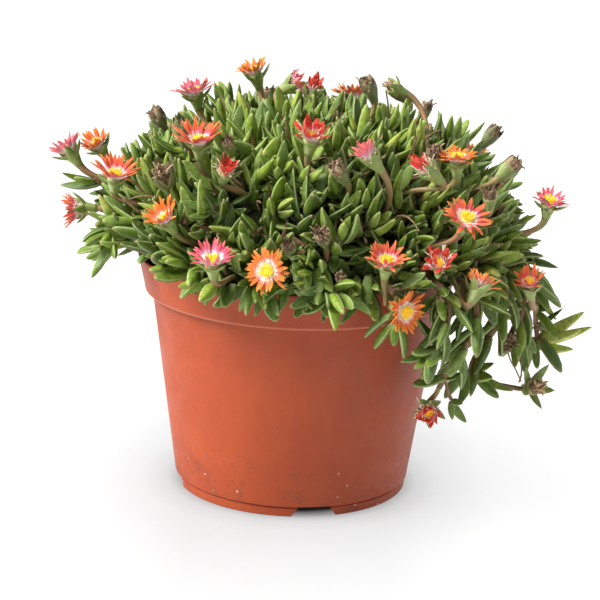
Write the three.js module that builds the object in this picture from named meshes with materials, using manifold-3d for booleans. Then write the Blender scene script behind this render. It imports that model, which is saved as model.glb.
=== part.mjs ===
// A potted ice plant: a cushion of fleshy leaves with orange daisy-like blooms, grown over the rim of
// a terracotta-coloured plastic nursery pot. Millimetres, +Z up; the origin is on the pot's axis, on
// the surface that the pot stands on.
import * as THREE from "three";
import { mergeVertices } from "three/addons/utils/BufferGeometryUtils.js";
import Module from "manifold-3d";

const wasm = await Module();
wasm.setup();

const FIT_GAP = 0.35; // clearance between pieces that touch
const RADIANS = Math.PI / 180;

// Pot: a 15 cm container with a flared collar, a raised gutter under its floor and four drain notches
const POT_HEIGHT = 110;
const RIM_RADIUS = 75;
const COLLAR_FOOT_RADIUS = 71.2;
const COLLAR_HEIGHT = 16.5;
const WALL_TOP_RADIUS = 67.9;
const WALL_FOOT_RADIUS = 55.4;
const FOOT_RADIUS = 54.4;
const FOOT_HEIGHT = 4.6;
const WALL = 1.6;
const CENTRE_DISC_RADIUS = 22;
const GUTTER_HEIGHT = 4.4;
const POT_SIDES = 32;
const NOTCH_BOTTOM_WIDTH = 23.6;
const NOTCH_TOP_WIDTH = 14.3;
const NOTCH_HEIGHT = 4.9;
const NOTCH_COUNT = 4;
const FIRST_NOTCH_AZIMUTH = -78;
const DRAIN_HOLE_RADIUS = 4;
const DRAIN_HOLE_CIRCLE = 42;

// Soil and the bare stems that stand in it
const SOIL_EDGE_HEIGHT = 97;
const SOIL_CENTRE_HEIGHT = 100;
const STEM_RADIUS = 2.2;
const STEM_SIDES = 4;
const STEM_DEPTH = 12;
const STEM_FOOT_SHARE = 0.56; // how far out a stem stands, as a share of its clump's distance from the axis

// Mound: leaf tips lie on a dome, and the leaves grow from a smaller core inside it
const MOUND_CENTRE = new THREE.Vector3(5.5, 0, 112);
const TIP_RADII = new THREE.Vector3(102.5, 91, 73);
const CORE_RADII = new THREE.Vector3(87, 75, 55);
const CORE_THICKNESS = 10;
const CORE_UNDERSIDE = POT_HEIGHT + 1.2;
const MOUND_SQUARENESS = 2.4; // 2 is an ellipsoid; more fills the shoulders out
const CLUMP_RINGS = [
  { count: 1, elevation: 90, phase: 0 },
  { count: 5, elevation: 55.6, phase: 20 },
  { count: 7, elevation: 31.7, phase: -8 },
  { count: 7, elevation: 10, phase: -30 },
];
const CLUMP_GAP = 0.5;

// Leaves: flat above and keeled below, in shoots of two crossed pairs; fewer and larger than life
const SHOOT_COUNT = 150;
const SHOOT_CROWDING = 1.14; // over 1, more of the shoots stand near the top
const SHOOT_LOWEST = -0.2; // sine of the elevation where the skirt that hangs over the rim ends
const SKIRT_DROOP = 165; // degrees for each unit of that sine, at the front and back; none at the sides
const SHOOT_SUNK = 5;
const HEART_HEIGHT = 1.2;
const NECK_RADIUS = 2.7;
const LEAF_LENGTH = 23;
const LEAF_WIDTH = 8.4;
const LEAF_THICKNESS = 3.4;
const LEAF_WIDEST = 0.52; // share of its length from the root
const LEAF_BOW = 1.4;
const LOWER_PAIR = { rise: 14, spread: 17 };
const UPPER_PAIR = { rise: 20, spread: 9 };
const TRAIL_PAIR = { rise: 13, spread: 14 };
const TRAIL_STEM_RADIUS = 1.6;

// Blooms, in degrees and millimetres: where on the mound, how far past the leaf tips, the azimuth and
// elevation that the face looks to, how far the petals are raised from flat, and the width laid flat
const BLOOMS = [
  { azimuth: 164, elevation: 59, rise: 7, facing: [160, 58], raised: 28, width: 21, tone: "coral" },
  { azimuth: 129, elevation: 66, rise: 12, facing: [190, 72], raised: 50, width: 22, tone: "orange" },
  { azimuth: 110, elevation: 79, rise: 5, facing: [350, 34], raised: 66, width: 17, tone: "pink" },
  { azimuth: 92, elevation: 80, rise: 4, facing: [330, 72], raised: 70, width: 20, tone: "red" },
  { azimuth: 178, elevation: 27, rise: 25, facing: [172, 52], raised: 48, width: 24, tone: "pink" },
  { azimuth: 176, elevation: 32, rise: 15, facing: [220, 55], raised: 50, width: 21, tone: "orange" },
  { azimuth: -157, elevation: 31, rise: 6, facing: [285, 76], raised: 36, width: 27, tone: "coral" },
  { azimuth: -131, elevation: 48, rise: 6, facing: [262, 78], raised: 34, width: 28, tone: "coral" },
  { azimuth: -116, elevation: 41, rise: 3, facing: [286, 50], raised: 60, width: 21, tone: "red" },
  { azimuth: -178, elevation: 11, rise: 12, facing: [186, -4], raised: 48, width: 26, tone: "coral" },
  { azimuth: -129, elevation: 23, rise: 5, facing: [222, 52], raised: 52, width: 24, tone: "orange" },
  { azimuth: -113, elevation: 13, rise: 5, facing: [262, 62], raised: 34, width: 26, tone: "pink" },
  { azimuth: -100, elevation: 10, rise: 5, facing: [242, 8], raised: 18, width: 24, tone: "orange" },
  { azimuth: -91, elevation: 53, rise: 8, facing: [300, 74], raised: 42, width: 24, tone: "red" },
  { azimuth: -75, elevation: 47, rise: 9, facing: [196, 50], raised: 72, width: 21, tone: "pink" },
  { azimuth: -56, elevation: 43, rise: 5, facing: [192, 40], raised: 68, width: 20, tone: "red" },
  { azimuth: -40, elevation: 44, rise: 6, facing: [258, 74], raised: 32, width: 20, tone: "orange" },
  { azimuth: -48, elevation: 25, rise: 6, facing: [300, 60], raised: 20, width: 26, tone: "coral" },
  { azimuth: 0, elevation: 20, rise: 10, facing: [300, 76], raised: 36, width: 19, tone: "pink" },
  { azimuth: -72, elevation: 15, rise: 5, facing: [280, 66], raised: 40, width: 24, tone: "coral" },
  { azimuth: -58, elevation: 13, rise: 4, facing: [262, 34], raised: 46, width: 21, tone: "red" },
  { azimuth: -46, elevation: 5, rise: 6, facing: [60, 56], raised: 56, width: 20, tone: "orange" },
  { azimuth: -67, elevation: -3, rise: 6, facing: [312, -2], raised: 20, width: 23, tone: "orange" },
  { azimuth: -28, elevation: 2, rise: 8, facing: [245, 64], raised: 54, width: 22, tone: "coral" },
  { azimuth: 38, elevation: 30, rise: 5, facing: [40, 60], raised: 24, width: 25, tone: "orange" },
  { azimuth: 66, elevation: 12, rise: 6, facing: [70, 30], raised: 20, width: 26, tone: "coral" },
  { azimuth: 88, elevation: 40, rise: 4, facing: [90, 62], raised: 34, width: 24, tone: "pink" },
  { azimuth: 112, elevation: 20, rise: 5, facing: [110, 45], raised: 22, width: 26, tone: "orange" },
  { azimuth: 139, elevation: 8, rise: 6, facing: [140, 26], raised: 48, width: 24, tone: "coral" },
  { azimuth: 70, elevation: 62, rise: 5, facing: [80, 72], raised: 26, width: 25, tone: "orange" },
];

// Spent flower heads, brown and dry, placed in the same way
const SPENT_HEADS = [
  { azimuth: 183, elevation: 50, rise: 10, facing: [200, 60] },
  { azimuth: -85, elevation: 44, rise: 5, facing: [215, 50] },
  { azimuth: -37, elevation: 77, rise: 11, facing: [200, 66] },
  { azimuth: 61, elevation: 53, rise: 9, facing: [190, 40] },
  { azimuth: 22, elevation: 39, rise: 9, facing: [20, 50] },
  { azimuth: -88, elevation: 23, rise: 5, facing: [255, 42] },
  { azimuth: 120, elevation: 46, rise: 4, facing: [120, 60] },
];
const CALYX_LENGTH = 7;
const CALYX_RADIUS = 3.2;
const SEPAL_LENGTH = 6.2;
const STALK_RADIUS = 1.25;
const BOSS_HEIGHT = 2.6;
const PETAL_THICKNESS = 1;

// Stems that reach out of the mound, most of them trailing over the rim on the right: points of each
// route, how many leafy joints it has, and how far the leaves of its last joint reach
const TRAILS = [
  {
    route: [[72, -43, 118], [85, -56, 111], [86, -63, 95], [77, -61, 80], [68, -58, 72]],
    joints: 4,
    last: { rise: 9, spread: 12 },
    bloom: { at: [61, -55, 54], facing: [262, -12], raised: 42, width: 19, tone: "red" },
  },
  {
    route: [[79, -32, 118], [95, -43, 110], [94, -46, 94], [86, -44, 78], [80, -42, 68]],
    joints: 5,
    last: { rise: 11, spread: 9 },
  },
  {
    route: [[66, -51, 118], [77, -67, 111], [78, -72, 97], [74, -70, 88]],
    joints: 3,
    last: { rise: 10, spread: 10 },
  },
  {
    route: [[83, -19, 118], [104, -24, 110], [105, -27, 92], [98, -28, 76], [97, -26, 65], [105, -23, 59]],
    joints: 5,
    last: { rise: 8, spread: 7 },
  },
  {
    route: [[89, 4, 118], [108, 4, 108], [112, 0, 92], [114, -3, 80], [124, -5, 74]],
    joints: 5,
    last: { rise: 17, spread: 9 },
  },
  {
    route: [[57, -58, 118], [66, -76, 110], [64, -80, 98], [61, -77, 88]],
    joints: 3,
    last: { rise: 10, spread: 9 },
  },
  { route: [[36, -66, 118], [44, -84, 111], [45, -86, 101]], joints: 2, last: { rise: 12, spread: 12 } },
  { route: [[-70, -22, 126], [-86, -26, 132], [-98, -30, 134]], joints: 2, last: { rise: 13, spread: 10 } },
  { route: [[-72, 6, 130], [-90, 3, 140], [-103, 0, 142]], joints: 2, last: { rise: 12, spread: 10 } },
];

const COLOURS = {
  pot: new THREE.MeshStandardMaterial({ color: 0xb4532f, roughness: 0.5, metalness: 0 }),
  soil: new THREE.MeshStandardMaterial({ color: 0x2b1f17, roughness: 1, metalness: 0 }),
  leaf: new THREE.MeshStandardMaterial({ color: 0x4f7838, roughness: 0.6, metalness: 0 }),
  orange: new THREE.MeshStandardMaterial({ color: 0xf58a3c, roughness: 0.6, metalness: 0 }),
  coral: new THREE.MeshStandardMaterial({ color: 0xf0603a, roughness: 0.6, metalness: 0 }),
  pink: new THREE.MeshStandardMaterial({ color: 0xf08d86, roughness: 0.6, metalness: 0 }),
  red: new THREE.MeshStandardMaterial({ color: 0xd93a33, roughness: 0.6, metalness: 0 }),
  spent: new THREE.MeshStandardMaterial({ color: 0x6e5443, roughness: 0.9, metalness: 0 }),
};

// Seeded random numbers, so that every build is the same
function seededRandom(seed) {
  let state = seed;
  return () => {
    state = (state + 0x6d2b79f5) | 0;
    let mixed = Math.imul(state ^ (state >>> 15), 1 | state);
    mixed = (mixed + Math.imul(mixed ^ (mixed >>> 7), 61 | mixed)) ^ mixed;
    return ((mixed ^ (mixed >>> 14)) >>> 0) / 4294967296;
  };
}

// Solids from three.js geometries and back
function solidOf(geometry) {
  const bare = geometry.clone();
  bare.deleteAttribute("normal");
  bare.deleteAttribute("uv");
  const merged = mergeVertices(bare, 1e-3);
  return new wasm.Manifold(new wasm.Mesh({
    numProp: 3,
    vertProperties: new Float32Array(merged.attributes.position.array),
    triVerts: new Uint32Array(merged.index.array),
  }));
}

function geometryOf(solid) {
  const mesh = solid.getMesh();
  return new THREE.BufferGeometry()
    .setAttribute("position", new THREE.BufferAttribute(new Float32Array(mesh.vertProperties), 3))
    .setIndex(new THREE.BufferAttribute(new Uint32Array(mesh.triVerts), 1));
}

function largestBody(solid) {
  return solid.decompose().sort((a, b) => b.volume() - a.volume())[0];
}

// One body with no loose scraps and no sealed hollows, looked for again each time its points are rounded
function singleBody(solids) {
  let solid = wasm.Manifold.union(solids);
  for (let round = 0; round < 4; round += 1) solid = solidOf(geometryOf(largestBody(solid)));
  return geometryOf(solid);
}

// A closed surface from points and the faces between them
function surface(points, faces) {
  const corners = new Float32Array(points.flatMap((point) => point.toArray()));
  return new THREE.BufferGeometry()
    .setAttribute("position", new THREE.BufferAttribute(corners, 3))
    .setIndex(faces.flat());
}

// Side faces between two rings of the same number of points, where ring b lies further along than ring a
function band(a, b, count) {
  return Array.from({ length: count }, (_, i) => (i + 1) % count).flatMap((next, i) => [
    [a + i, a + next, b + next],
    [a + i, b + next, b + i],
  ]);
}

// Directions on the mound, and the points of the core and of the leaf tips in such a direction
function direction(azimuth, elevation) {
  const level = Math.cos(elevation * RADIANS);
  return new THREE.Vector3(
    level * Math.cos(azimuth * RADIANS),
    level * Math.sin(azimuth * RADIANS),
    Math.sin(elevation * RADIANS),
  );
}

function moundPoint(radii, heading) {
  const level = Math.hypot(heading.x, heading.y);
  const power = MOUND_SQUARENESS;
  const swelling = (level ** power + Math.abs(heading.z) ** power) ** (-1 / power);
  const lumps = 1 + 0.02 * level * Math.sin(3 * Math.atan2(heading.y, heading.x) + 1.3);
  return heading.clone().multiply(radii).multiplyScalar(swelling * lumps).add(MOUND_CENTRE);
}

function moundNormal(heading) {
  return heading.clone().divide(CORE_RADII).normalize();
}

// Clumps: the mound is shared out between leafy stems, each with the directions nearest to its own
const clumps = CLUMP_RINGS.flatMap(({ count, elevation, phase }) =>
  Array.from({ length: count }, (_, i) => direction(phase + (360 * i) / count, elevation)),
);

function clumpOf(heading) {
  const nearness = clumps.map((clump) => clump.dot(heading));
  return nearness.indexOf(Math.max(...nearness));
}

// Turns a direction towards its clump's middle until it is clear of the neighbours by a margin in millimetres
function keptInside(heading, clump, margin) {
  const kept = heading.clone();
  const middle = clumps[clump];
  const outside = () => clumps.some((other, i) => {
    if (i === clump) return false;
    const across = middle.clone().sub(other);
    return kept.dot(across) / across.divide(CORE_RADII).length() < margin;
  });
  for (let tries = 0; tries < 12 && outside(); tries += 1) kept.lerp(middle, 0.12).normalize();
  return kept;
}

// Pot
function potGeometry() {
  const collarFoot = POT_HEIGHT - COLLAR_HEIGHT;
  const profile = [
    [0, 0], [CENTRE_DISC_RADIUS, 0], [CENTRE_DISC_RADIUS + 3, GUTTER_HEIGHT],
    [FOOT_RADIUS - 3.6, GUTTER_HEIGHT], [FOOT_RADIUS - 2.8, 0],
    [FOOT_RADIUS, 0], [FOOT_RADIUS + 0.2, FOOT_HEIGHT - 0.4], [WALL_FOOT_RADIUS, FOOT_HEIGHT + 0.4],
    [WALL_TOP_RADIUS, collarFoot - 0.6], [COLLAR_FOOT_RADIUS, collarFoot],
    [RIM_RADIUS, POT_HEIGHT], [RIM_RADIUS - WALL - 0.2, POT_HEIGHT],
    [COLLAR_FOOT_RADIUS - WALL, collarFoot + WALL], [WALL_TOP_RADIUS - WALL, collarFoot],
    [WALL_FOOT_RADIUS - WALL, GUTTER_HEIGHT + WALL], [0, GUTTER_HEIGHT + WALL],
  ].map(([radius, height]) => new THREE.Vector2(radius, height));
  const shell = new THREE.LatheGeometry([...profile, profile[0]], POT_SIDES).rotateX(Math.PI / 2);
  const notch = new THREE.Shape([
    new THREE.Vector2(-NOTCH_BOTTOM_WIDTH / 2, -1), new THREE.Vector2(NOTCH_BOTTOM_WIDTH / 2, -1),
    new THREE.Vector2(NOTCH_TOP_WIDTH / 2, NOTCH_HEIGHT),
    new THREE.Vector2(-NOTCH_TOP_WIDTH / 2, NOTCH_HEIGHT),
  ]);
  let pot = solidOf(shell);
  for (let i = 0; i < NOTCH_COUNT; i += 1) {
    const turn = (FIRST_NOTCH_AZIMUTH + (360 * i) / NOTCH_COUNT) * RADIANS;
    const notchCut = new THREE.ExtrudeGeometry(notch, { depth: 12, bevelEnabled: false, steps: 1 })
      .rotateX(Math.PI / 2).rotateZ(Math.PI / 2)
      .translate(FOOT_RADIUS - 6, 0, 0).rotateZ(turn);
    const holeCut = new THREE.CylinderGeometry(DRAIN_HOLE_RADIUS, DRAIN_HOLE_RADIUS, 8, 6)
      .rotateX(Math.PI / 2).translate(DRAIN_HOLE_CIRCLE, 0, GUTTER_HEIGHT).rotateZ(turn);
    pot = pot.subtract(solidOf(notchCut)).subtract(solidOf(holeCut));
  }
  return geometryOf(pot);
}

// Bare stems, from a hole in the soil to the underside of each clump's core
function ringAround(centre, across, above, radius, sides) {
  return Array.from({ length: sides }, (_, i) => {
    const turn = (2 * Math.PI * i) / sides;
    return centre.clone()
      .addScaledVector(across, radius * Math.cos(turn))
      .addScaledVector(above, radius * Math.sin(turn));
  });
}

function tube(curve, steps, radius, sides) {
  const outline = Array.from({ length: sides }, (_, i) => {
    const turn = (2 * Math.PI * i) / sides;
    return new THREE.Vector2(radius * Math.cos(turn), radius * Math.sin(turn));
  });
  const settings = { steps, bevelEnabled: false, extrudePath: curve };
  return new THREE.ExtrudeGeometry(new THREE.Shape(outline), settings);
}

function stemFoot(clump) {
  const middle = moundPoint(CORE_RADII, clumps[clump]);
  return new THREE.Vector3(middle.x * STEM_FOOT_SHARE, middle.y * STEM_FOOT_SHARE, 0);
}

function soilHeight(radius) {
  return THREE.MathUtils.lerp(SOIL_CENTRE_HEIGHT, SOIL_EDGE_HEIGHT, radius / WALL_TOP_RADIUS);
}

function stemGeometry(clump) {
  const foot = stemFoot(clump);
  const bottom = soilHeight(foot.length()) - STEM_DEPTH + FIT_GAP;
  const end = moundPoint(CORE_RADII, clumps[clump])
    .addScaledVector(moundNormal(clumps[clump]), -CORE_THICKNESS / 2);
  const bend = foot.clone().setZ(bottom + STEM_DEPTH + 3);
  const above = foot.clone().setZ(THREE.MathUtils.lerp(bend.z, end.z, 0.7));
  const path = new THREE.CurvePath();
  path.add(new THREE.LineCurve3(foot.clone().setZ(bottom), bend));
  path.add(new THREE.QuadraticBezierCurve3(bend, above, end));
  return tube(path, 4, STEM_RADIUS, STEM_SIDES);
}

// Soil: fills the pot, with a plain hole for each stem
function soilGeometry() {
  const inner = WALL + FIT_GAP;
  const collarFoot = POT_HEIGHT - COLLAR_HEIGHT;
  const floor = GUTTER_HEIGHT + inner;
  const profile = [
    [0, floor], [WALL_FOOT_RADIUS - inner - 0.4, floor], [WALL_TOP_RADIUS - inner, collarFoot],
    [COLLAR_FOOT_RADIUS - inner - 0.2, collarFoot + inner],
    [COLLAR_FOOT_RADIUS - inner + 0.2, SOIL_EDGE_HEIGHT], [0, SOIL_CENTRE_HEIGHT],
  ].map(([radius, height]) => new THREE.Vector2(radius, height));
  let soil = solidOf(new THREE.LatheGeometry([...profile, profile[0]], 24).rotateX(Math.PI / 2));
  clumps.forEach((_, clump) => {
    const foot = stemFoot(clump);
    const hole = new THREE.CylinderGeometry(STEM_RADIUS + 1, STEM_RADIUS + 1, 2 * STEM_DEPTH, 5)
      .rotateX(Math.PI / 2).translate(foot.x, foot.y, soilHeight(foot.length()));
    soil = soil.subtract(solidOf(hole));
  });
  return geometryOf(soil);
}

// Cores: the dense middle of the mound, cut between the clumps
function domeSolid(radii) {
  const dome = new THREE.SphereGeometry(1, 16, 8).rotateX(Math.PI / 2);
  const corners = dome.attributes.position;
  for (let i = 0; i < corners.count; i += 1) {
    const heading = new THREE.Vector3().fromBufferAttribute(corners, i);
    corners.setXYZ(i, ...moundPoint(radii, heading));
  }
  return solidOf(dome);
}

function coreSolids() {
  const hollow = CORE_RADII.clone().subScalar(CORE_THICKNESS);
  const canopy = domeSolid(CORE_RADII).subtract(domeSolid(hollow)).trimByPlane([0, 0, 1], CORE_UNDERSIDE);
  return clumps.map((middle, clump) => clumps.reduce((core, other, i) => {
    if (i === clump) return core;
    const normal = middle.clone().sub(other).divide(CORE_RADII).normalize();
    return core.trimByPlane(normal.toArray(), normal.dot(MOUND_CENTRE) + CLUMP_GAP / 2);
  }, canopy));
}

// A leaf's own four points, beyond the two neck points that it starts from: left, right, keel and tip
function leafPoints(neck, nextNeck, tip, grow = 0) {
  const base = neck.clone().lerp(nextNeck, 0.5);
  const across = nextNeck.clone().sub(neck).normalize();
  const along = tip.clone().sub(base);
  const length = along.length();
  along.normalize();
  const above = new THREE.Vector3().crossVectors(along, across).normalize();
  const size = Math.min(1, Math.sqrt(length / LEAF_LENGTH));
  const middle = base.lerp(tip, LEAF_WIDEST).addScaledVector(above, -LEAF_BOW * size);
  const half = (LEAF_WIDTH / 2) * size + grow;
  const thick = LEAF_THICKNESS * size;
  return [
    middle.clone().addScaledVector(across, -half).addScaledVector(above, thick / 3 + grow),
    middle.clone().addScaledVector(across, half).addScaledVector(above, thick / 3 + grow),
    middle.clone().addScaledVector(above, (-2 * thick) / 3 - grow),
    tip.clone().addScaledVector(along, 2 * grow),
  ];
}

// Faces of a leaf from its corners: two neck points, the two points of the stem above them, and its
// own four. Where the stem ends, its two points are the same one, and the face between them drops out
function leafFaces([neck, nextNeck, stem, nextStem, left, right, keel, tip]) {
  return [
    [neck, nextNeck, keel], [neck, keel, left], [nextNeck, right, keel],
    [left, keel, tip], [keel, right, tip], [left, tip, right],
    [stem, neck, left], [stem, left, right], [stem, right, nextStem], [nextStem, right, nextNeck],
  ].filter((face) => new Set(face).size === 3);
}

// Directions of the four leaves round a stem, and the neck points between them
function spokesAround(axis, reference, twist) {
  const start = reference.clone().addScaledVector(axis, -reference.dot(axis)).normalize()
    .applyAxisAngle(axis, twist);
  return [0, 1, 2, 3].map((quarter) => start.clone().applyAxisAngle(axis, (quarter * Math.PI) / 2));
}

function ringBetween(spokes, centre, radius) {
  return spokes.map((spoke, i) => {
    const between = spoke.clone().add(spokes.at(i - 1)).normalize();
    return centre.clone().addScaledVector(between, radius);
  });
}

// A stem as one closed surface, from a foot sunk in what it grows from, through each of its joints to
// the last, where it ends between the leaves. A joint without tips is bare, and a leaf without a tip
// is left out
function stemSolid(foot, joints) {
  const points = [foot];
  const faces = [];
  const ring = (corners) => points.push(...corners) - corners.length;
  let below = null;
  joints.forEach(({ centre, axis, spokes, tips }, i) => {
    const neck = ring(ringBetween(spokes, centre, tips ? NECK_RADIUS : TRAIL_STEM_RADIUS));
    if (below === null) faces.push(...[0, 1, 2, 3].map((k) => [0, neck + ((k + 1) % 4), neck + k]));
    else faces.push(...band(below, neck, 4));
    below = neck;
    if (!tips) return;
    const ends = i === joints.length - 1;
    const heart = centre.clone().addScaledVector(axis, HEART_HEIGHT);
    const above = ends ? points.push(heart) - 1 : ring(ringBetween(spokes, heart, TRAIL_STEM_RADIUS));
    tips.forEach((tip, k) => {
      const next = (k + 1) % 4;
      const [stem, nextStem] = ends ? [above, above] : [above + k, above + next];
      if (tip) {
        const own = ring(leafPoints(points[neck + k], points[neck + next], tip));
        faces.push(...leafFaces([neck + k, neck + next, stem, nextStem, own, own + 1, own + 2, own + 3]));
      } else if (ends) faces.push([neck + k, neck + next, stem]);
      else faces.push([neck + k, neck + next, nextStem], [neck + k, nextStem, stem]);
    });
    below = above;
  });
  return solidOf(surface(points, faces));
}

// Stalk and calyx: a round stalk that widens into a cup with five fleshy lobes
function stalkGeometry(root, firstWay, seat, face, lobeAngle) {
  const bottom = seat.clone().addScaledVector(face, -CALYX_LENGTH);
  const reach = root.distanceTo(bottom);
  const curve = new THREE.CubicBezierCurve3(
    root,
    root.clone().addScaledVector(firstWay, reach * 0.4),
    bottom.clone().addScaledVector(face, -reach * 0.35),
    bottom,
  );
  const across = firstWay.clone().add(new THREE.Vector3(0.02, 0.05, 0)).cross(face).normalize();
  const above = new THREE.Vector3().crossVectors(face, across);
  const points = [];
  const faces = [];
  const steps = reach > 22 ? 2 : 1;
  for (let i = 0; i <= steps; i += 1) {
    const along = curve.getTangent(i / steps);
    const side = across.clone().addScaledVector(along, -across.dot(along)).normalize();
    const up = new THREE.Vector3().crossVectors(along, side);
    points.push(...ringAround(curve.getPoint(i / steps), side, up, STALK_RADIUS, 5));
    if (i > 0) faces.push(...band(5 * (i - 1), 5 * i, 5));
  }
  faces.push(...[1, 2, 3].map((i) => [0, i + 1, i]));
  const neck = 5 * steps;
  const notches = points.length;
  points.push(...ringAround(seat, across, above, CALYX_RADIUS, 5));
  const shoulders = points.length;
  const lobes = shoulders + 5;
  const turned = (radius, height) => Array.from({ length: 5 }, (_, i) => {
    const turn = (2 * Math.PI * (i + 0.5)) / 5;
    return seat.clone().addScaledVector(across, radius * Math.cos(turn))
      .addScaledVector(above, radius * Math.sin(turn)).addScaledVector(face, height);
  });
  points.push(...turned(CALYX_RADIUS + 0.8, -0.8));
  points.push(...turned(
    CALYX_RADIUS + 0.8 + SEPAL_LENGTH * Math.cos(lobeAngle * RADIANS),
    SEPAL_LENGTH * Math.sin(lobeAngle * RADIANS) - 0.8,
  ));
  for (let i = 0; i < 5; i += 1) {
    const next = (i + 1) % 5;
    faces.push(
      [neck + i, neck + next, shoulders + i], [neck + i, shoulders + i, notches + i],
      [neck + next, notches + next, shoulders + i], [notches + i, shoulders + i, lobes + i],
      [shoulders + i, notches + next, lobes + i], [notches + i, lobes + i, notches + next],
    );
  }
  faces.push(...[1, 2, 3].map((i) => [notches, notches + i, notches + i + 1]));
  return surface(points, faces);
}

// Bloom: strap-shaped petals in two layers round a raised boss of stamens, as one surface, looking along +Z
function bloomGeometry({ raised, width }) {
  const wide = raised < 45;
  const count = wide ? 10 : raised < 60 ? 8 : 6;
  const eyeRadius = wide ? 3.6 : raised < 60 ? 3 : 2.2;
  const petalLength = width / 2 - eyeRadius;
  const petalWidth = wide ? 3.5 : 3;
  const lift = 1;
  const points = [new THREE.Vector3(0, 0, lift - 0.6), new THREE.Vector3(0, 0, lift + BOSS_HEIGHT)];
  const faces = [];
  const notch = (k) => 2 + (k % count);
  const bossEdge = (k) => 2 + count + (k % count);
  const onRing = (radius, steps, height) => {
    const turn = (2 * Math.PI * steps) / count;
    return new THREE.Vector3(radius * Math.cos(turn), radius * Math.sin(turn), height);
  };
  for (let k = 0; k < count; k += 1) points.push(onRing(eyeRadius, k - 0.5, lift));
  for (let k = 0; k < count; k += 1) points.push(onRing(eyeRadius * 0.72, k, lift + 1.1));
  for (let k = 0; k < count; k += 1) {
    const turn = (2 * Math.PI * k) / count;
    const angle = (raised + (k % 2 ? 14 : 0)) * RADIANS;
    const length = petalLength * (k % 2 ? 0.9 : 1);
    const at = (share, side, up) => {
      const radius = eyeRadius + length * share * Math.cos(angle) - up * Math.sin(angle);
      const height = lift + length * share * Math.sin(angle) + up * Math.cos(angle);
      return new THREE.Vector3(
        radius * Math.cos(turn) - side * Math.sin(turn),
        radius * Math.sin(turn) + side * Math.cos(turn),
        height,
      );
    };
    const left = points.length;
    const [tip, right, ridge] = [left + 1, left + 2, left + 3];
    points.push(
      at(0.66, -petalWidth / 2, 0), at(1, 0, 0), at(0.66, petalWidth / 2, 0),
      at(0.5, 0, PETAL_THICKNESS),
    );
    faces.push(
      [ridge, notch(k), left], [ridge, left, tip], [ridge, tip, right], [ridge, right, notch(k + 1)],
      [notch(k), right, left], [notch(k), notch(k + 1), right], [left, right, tip],
      [bossEdge(k), notch(k), ridge], [bossEdge(k), ridge, notch(k + 1)],
      [bossEdge(k), notch(k + 1), bossEdge(k + 1)], [1, bossEdge(k), bossEdge(k + 1)],
      [0, notch(k + 1), notch(k)],
    );
  }
  return surface(points, faces);
}

// Spent head: a shrivelled knob with a few dry strap ends
function spentHeadGeometry() {
  const count = 6;
  const points = [new THREE.Vector3(0, 0, 0.5), new THREE.Vector3(0.6, 0.3, 5.6)];
  const faces = [];
  for (let level = 0; level < 2; level += 1) {
    for (let k = 0; k < count; k += 1) {
      const turn = (2 * Math.PI * (k + level / 2)) / count;
      const radius = (level ? 3 : 2.4) * (1 + 0.22 * Math.sin(2.4 * k + level));
      const height = 0.9 + 2.7 * level + 0.5 * Math.cos(3 * k);
      points.push(new THREE.Vector3(radius * Math.cos(turn), radius * Math.sin(turn), height));
    }
  }
  for (let k = 0; k < count; k += 1) {
    const next = (k + 1) % count;
    faces.push([0, 2 + next, 2 + k], [1, 8 + k, 8 + next]);
  }
  faces.push(...band(2, 8, count));
  return surface(points, faces);
}

// Everything placed so far, so that a new leaf can be bent clear of it
const placed = [];

function note(node, stem, solid) {
  placed.push({ node, stem, solid, box: solid.boundingBox() });
  return solid;
}

function boxesMeet(a, b) {
  return [0, 1, 2].every((axis) => a.min[axis] < b.max[axis] && b.min[axis] < a.max[axis]);
}

function crosses(solid, concerns) {
  const box = solid.boundingBox();
  return placed.some((other) => concerns(other) && boxesMeet(box, other.box)
    && solid.intersect(other.solid).volume() > 1e-6);
}

// The longest tip, of the one wanted and shorter ones, at which a leaf is clear of all but its own stem
function clearedTip(node, stem, heart, neck, nextNeck, tip) {
  const base = neck.clone().lerp(nextNeck, 0.5);
  const room = (reach, grow) => solidOf(surface(
    [neck, nextNeck, heart, ...leafPoints(neck, nextNeck, reach, grow)],
    [...leafFaces([0, 1, 2, 2, 3, 4, 5, 6]), [2, 1, 0]],
  ));
  const otherNode = (other) => other.node !== node;
  const otherStem = (other) => other.node === node && other.stem !== stem && other.stem !== "core";
  return [1, 0.85, 0.7, 0.55, 0.42].map((share) => base.clone().lerp(tip, share)).find((reach) => (
    !crosses(room(reach, FIT_GAP), otherNode) && !crosses(room(reach, 0), otherStem)
  ));
}

// A joint with two crossed pairs of leaves
function leafyJoint(node, stem, centre, axis, reference, twist, pairs) {
  const spokes = spokesAround(axis, reference, twist);
  const necks = ringBetween(spokes, centre, NECK_RADIUS);
  const heart = centre.clone().addScaledVector(axis, HEART_HEIGHT);
  const tips = spokes.map((spoke, k) => {
    const { rise, spread } = pairs[k % 2];
    const wanted = centre.clone()
      .addScaledVector(axis, rise * (0.85 + 0.3 * random()))
      .addScaledVector(spoke, spread * (0.8 + 0.4 * random()));
    return clearedTip(node, stem, heart, necks[k], necks[(k + 1) % 4], wanted);
  });
  return { centre, axis, spokes, tips };
}

function setAt(geometry, seat, face) {
  const turn = new THREE.Quaternion().setFromUnitVectors(new THREE.Vector3(0, 0, 1), face);
  return geometry.applyQuaternion(turn).translate(seat.x, seat.y, seat.z);
}

const random = seededRandom(7);
const twoDigits = (index) => String(index + 1).padStart(2, "0");
const plant = new THREE.Group();

function addMesh(name, geometry, material) {
  const mesh = new THREE.Mesh(geometry, material);
  mesh.name = name;
  plant.add(mesh);
}

const pot = potGeometry();
const soil = soilGeometry();
note("pot", "pot", solidOf(pot));
note("soil", "soil", solidOf(soil));
addMesh("pot", pot, COLOURS.pot);
addMesh("soil", soil, COLOURS.soil);

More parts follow.
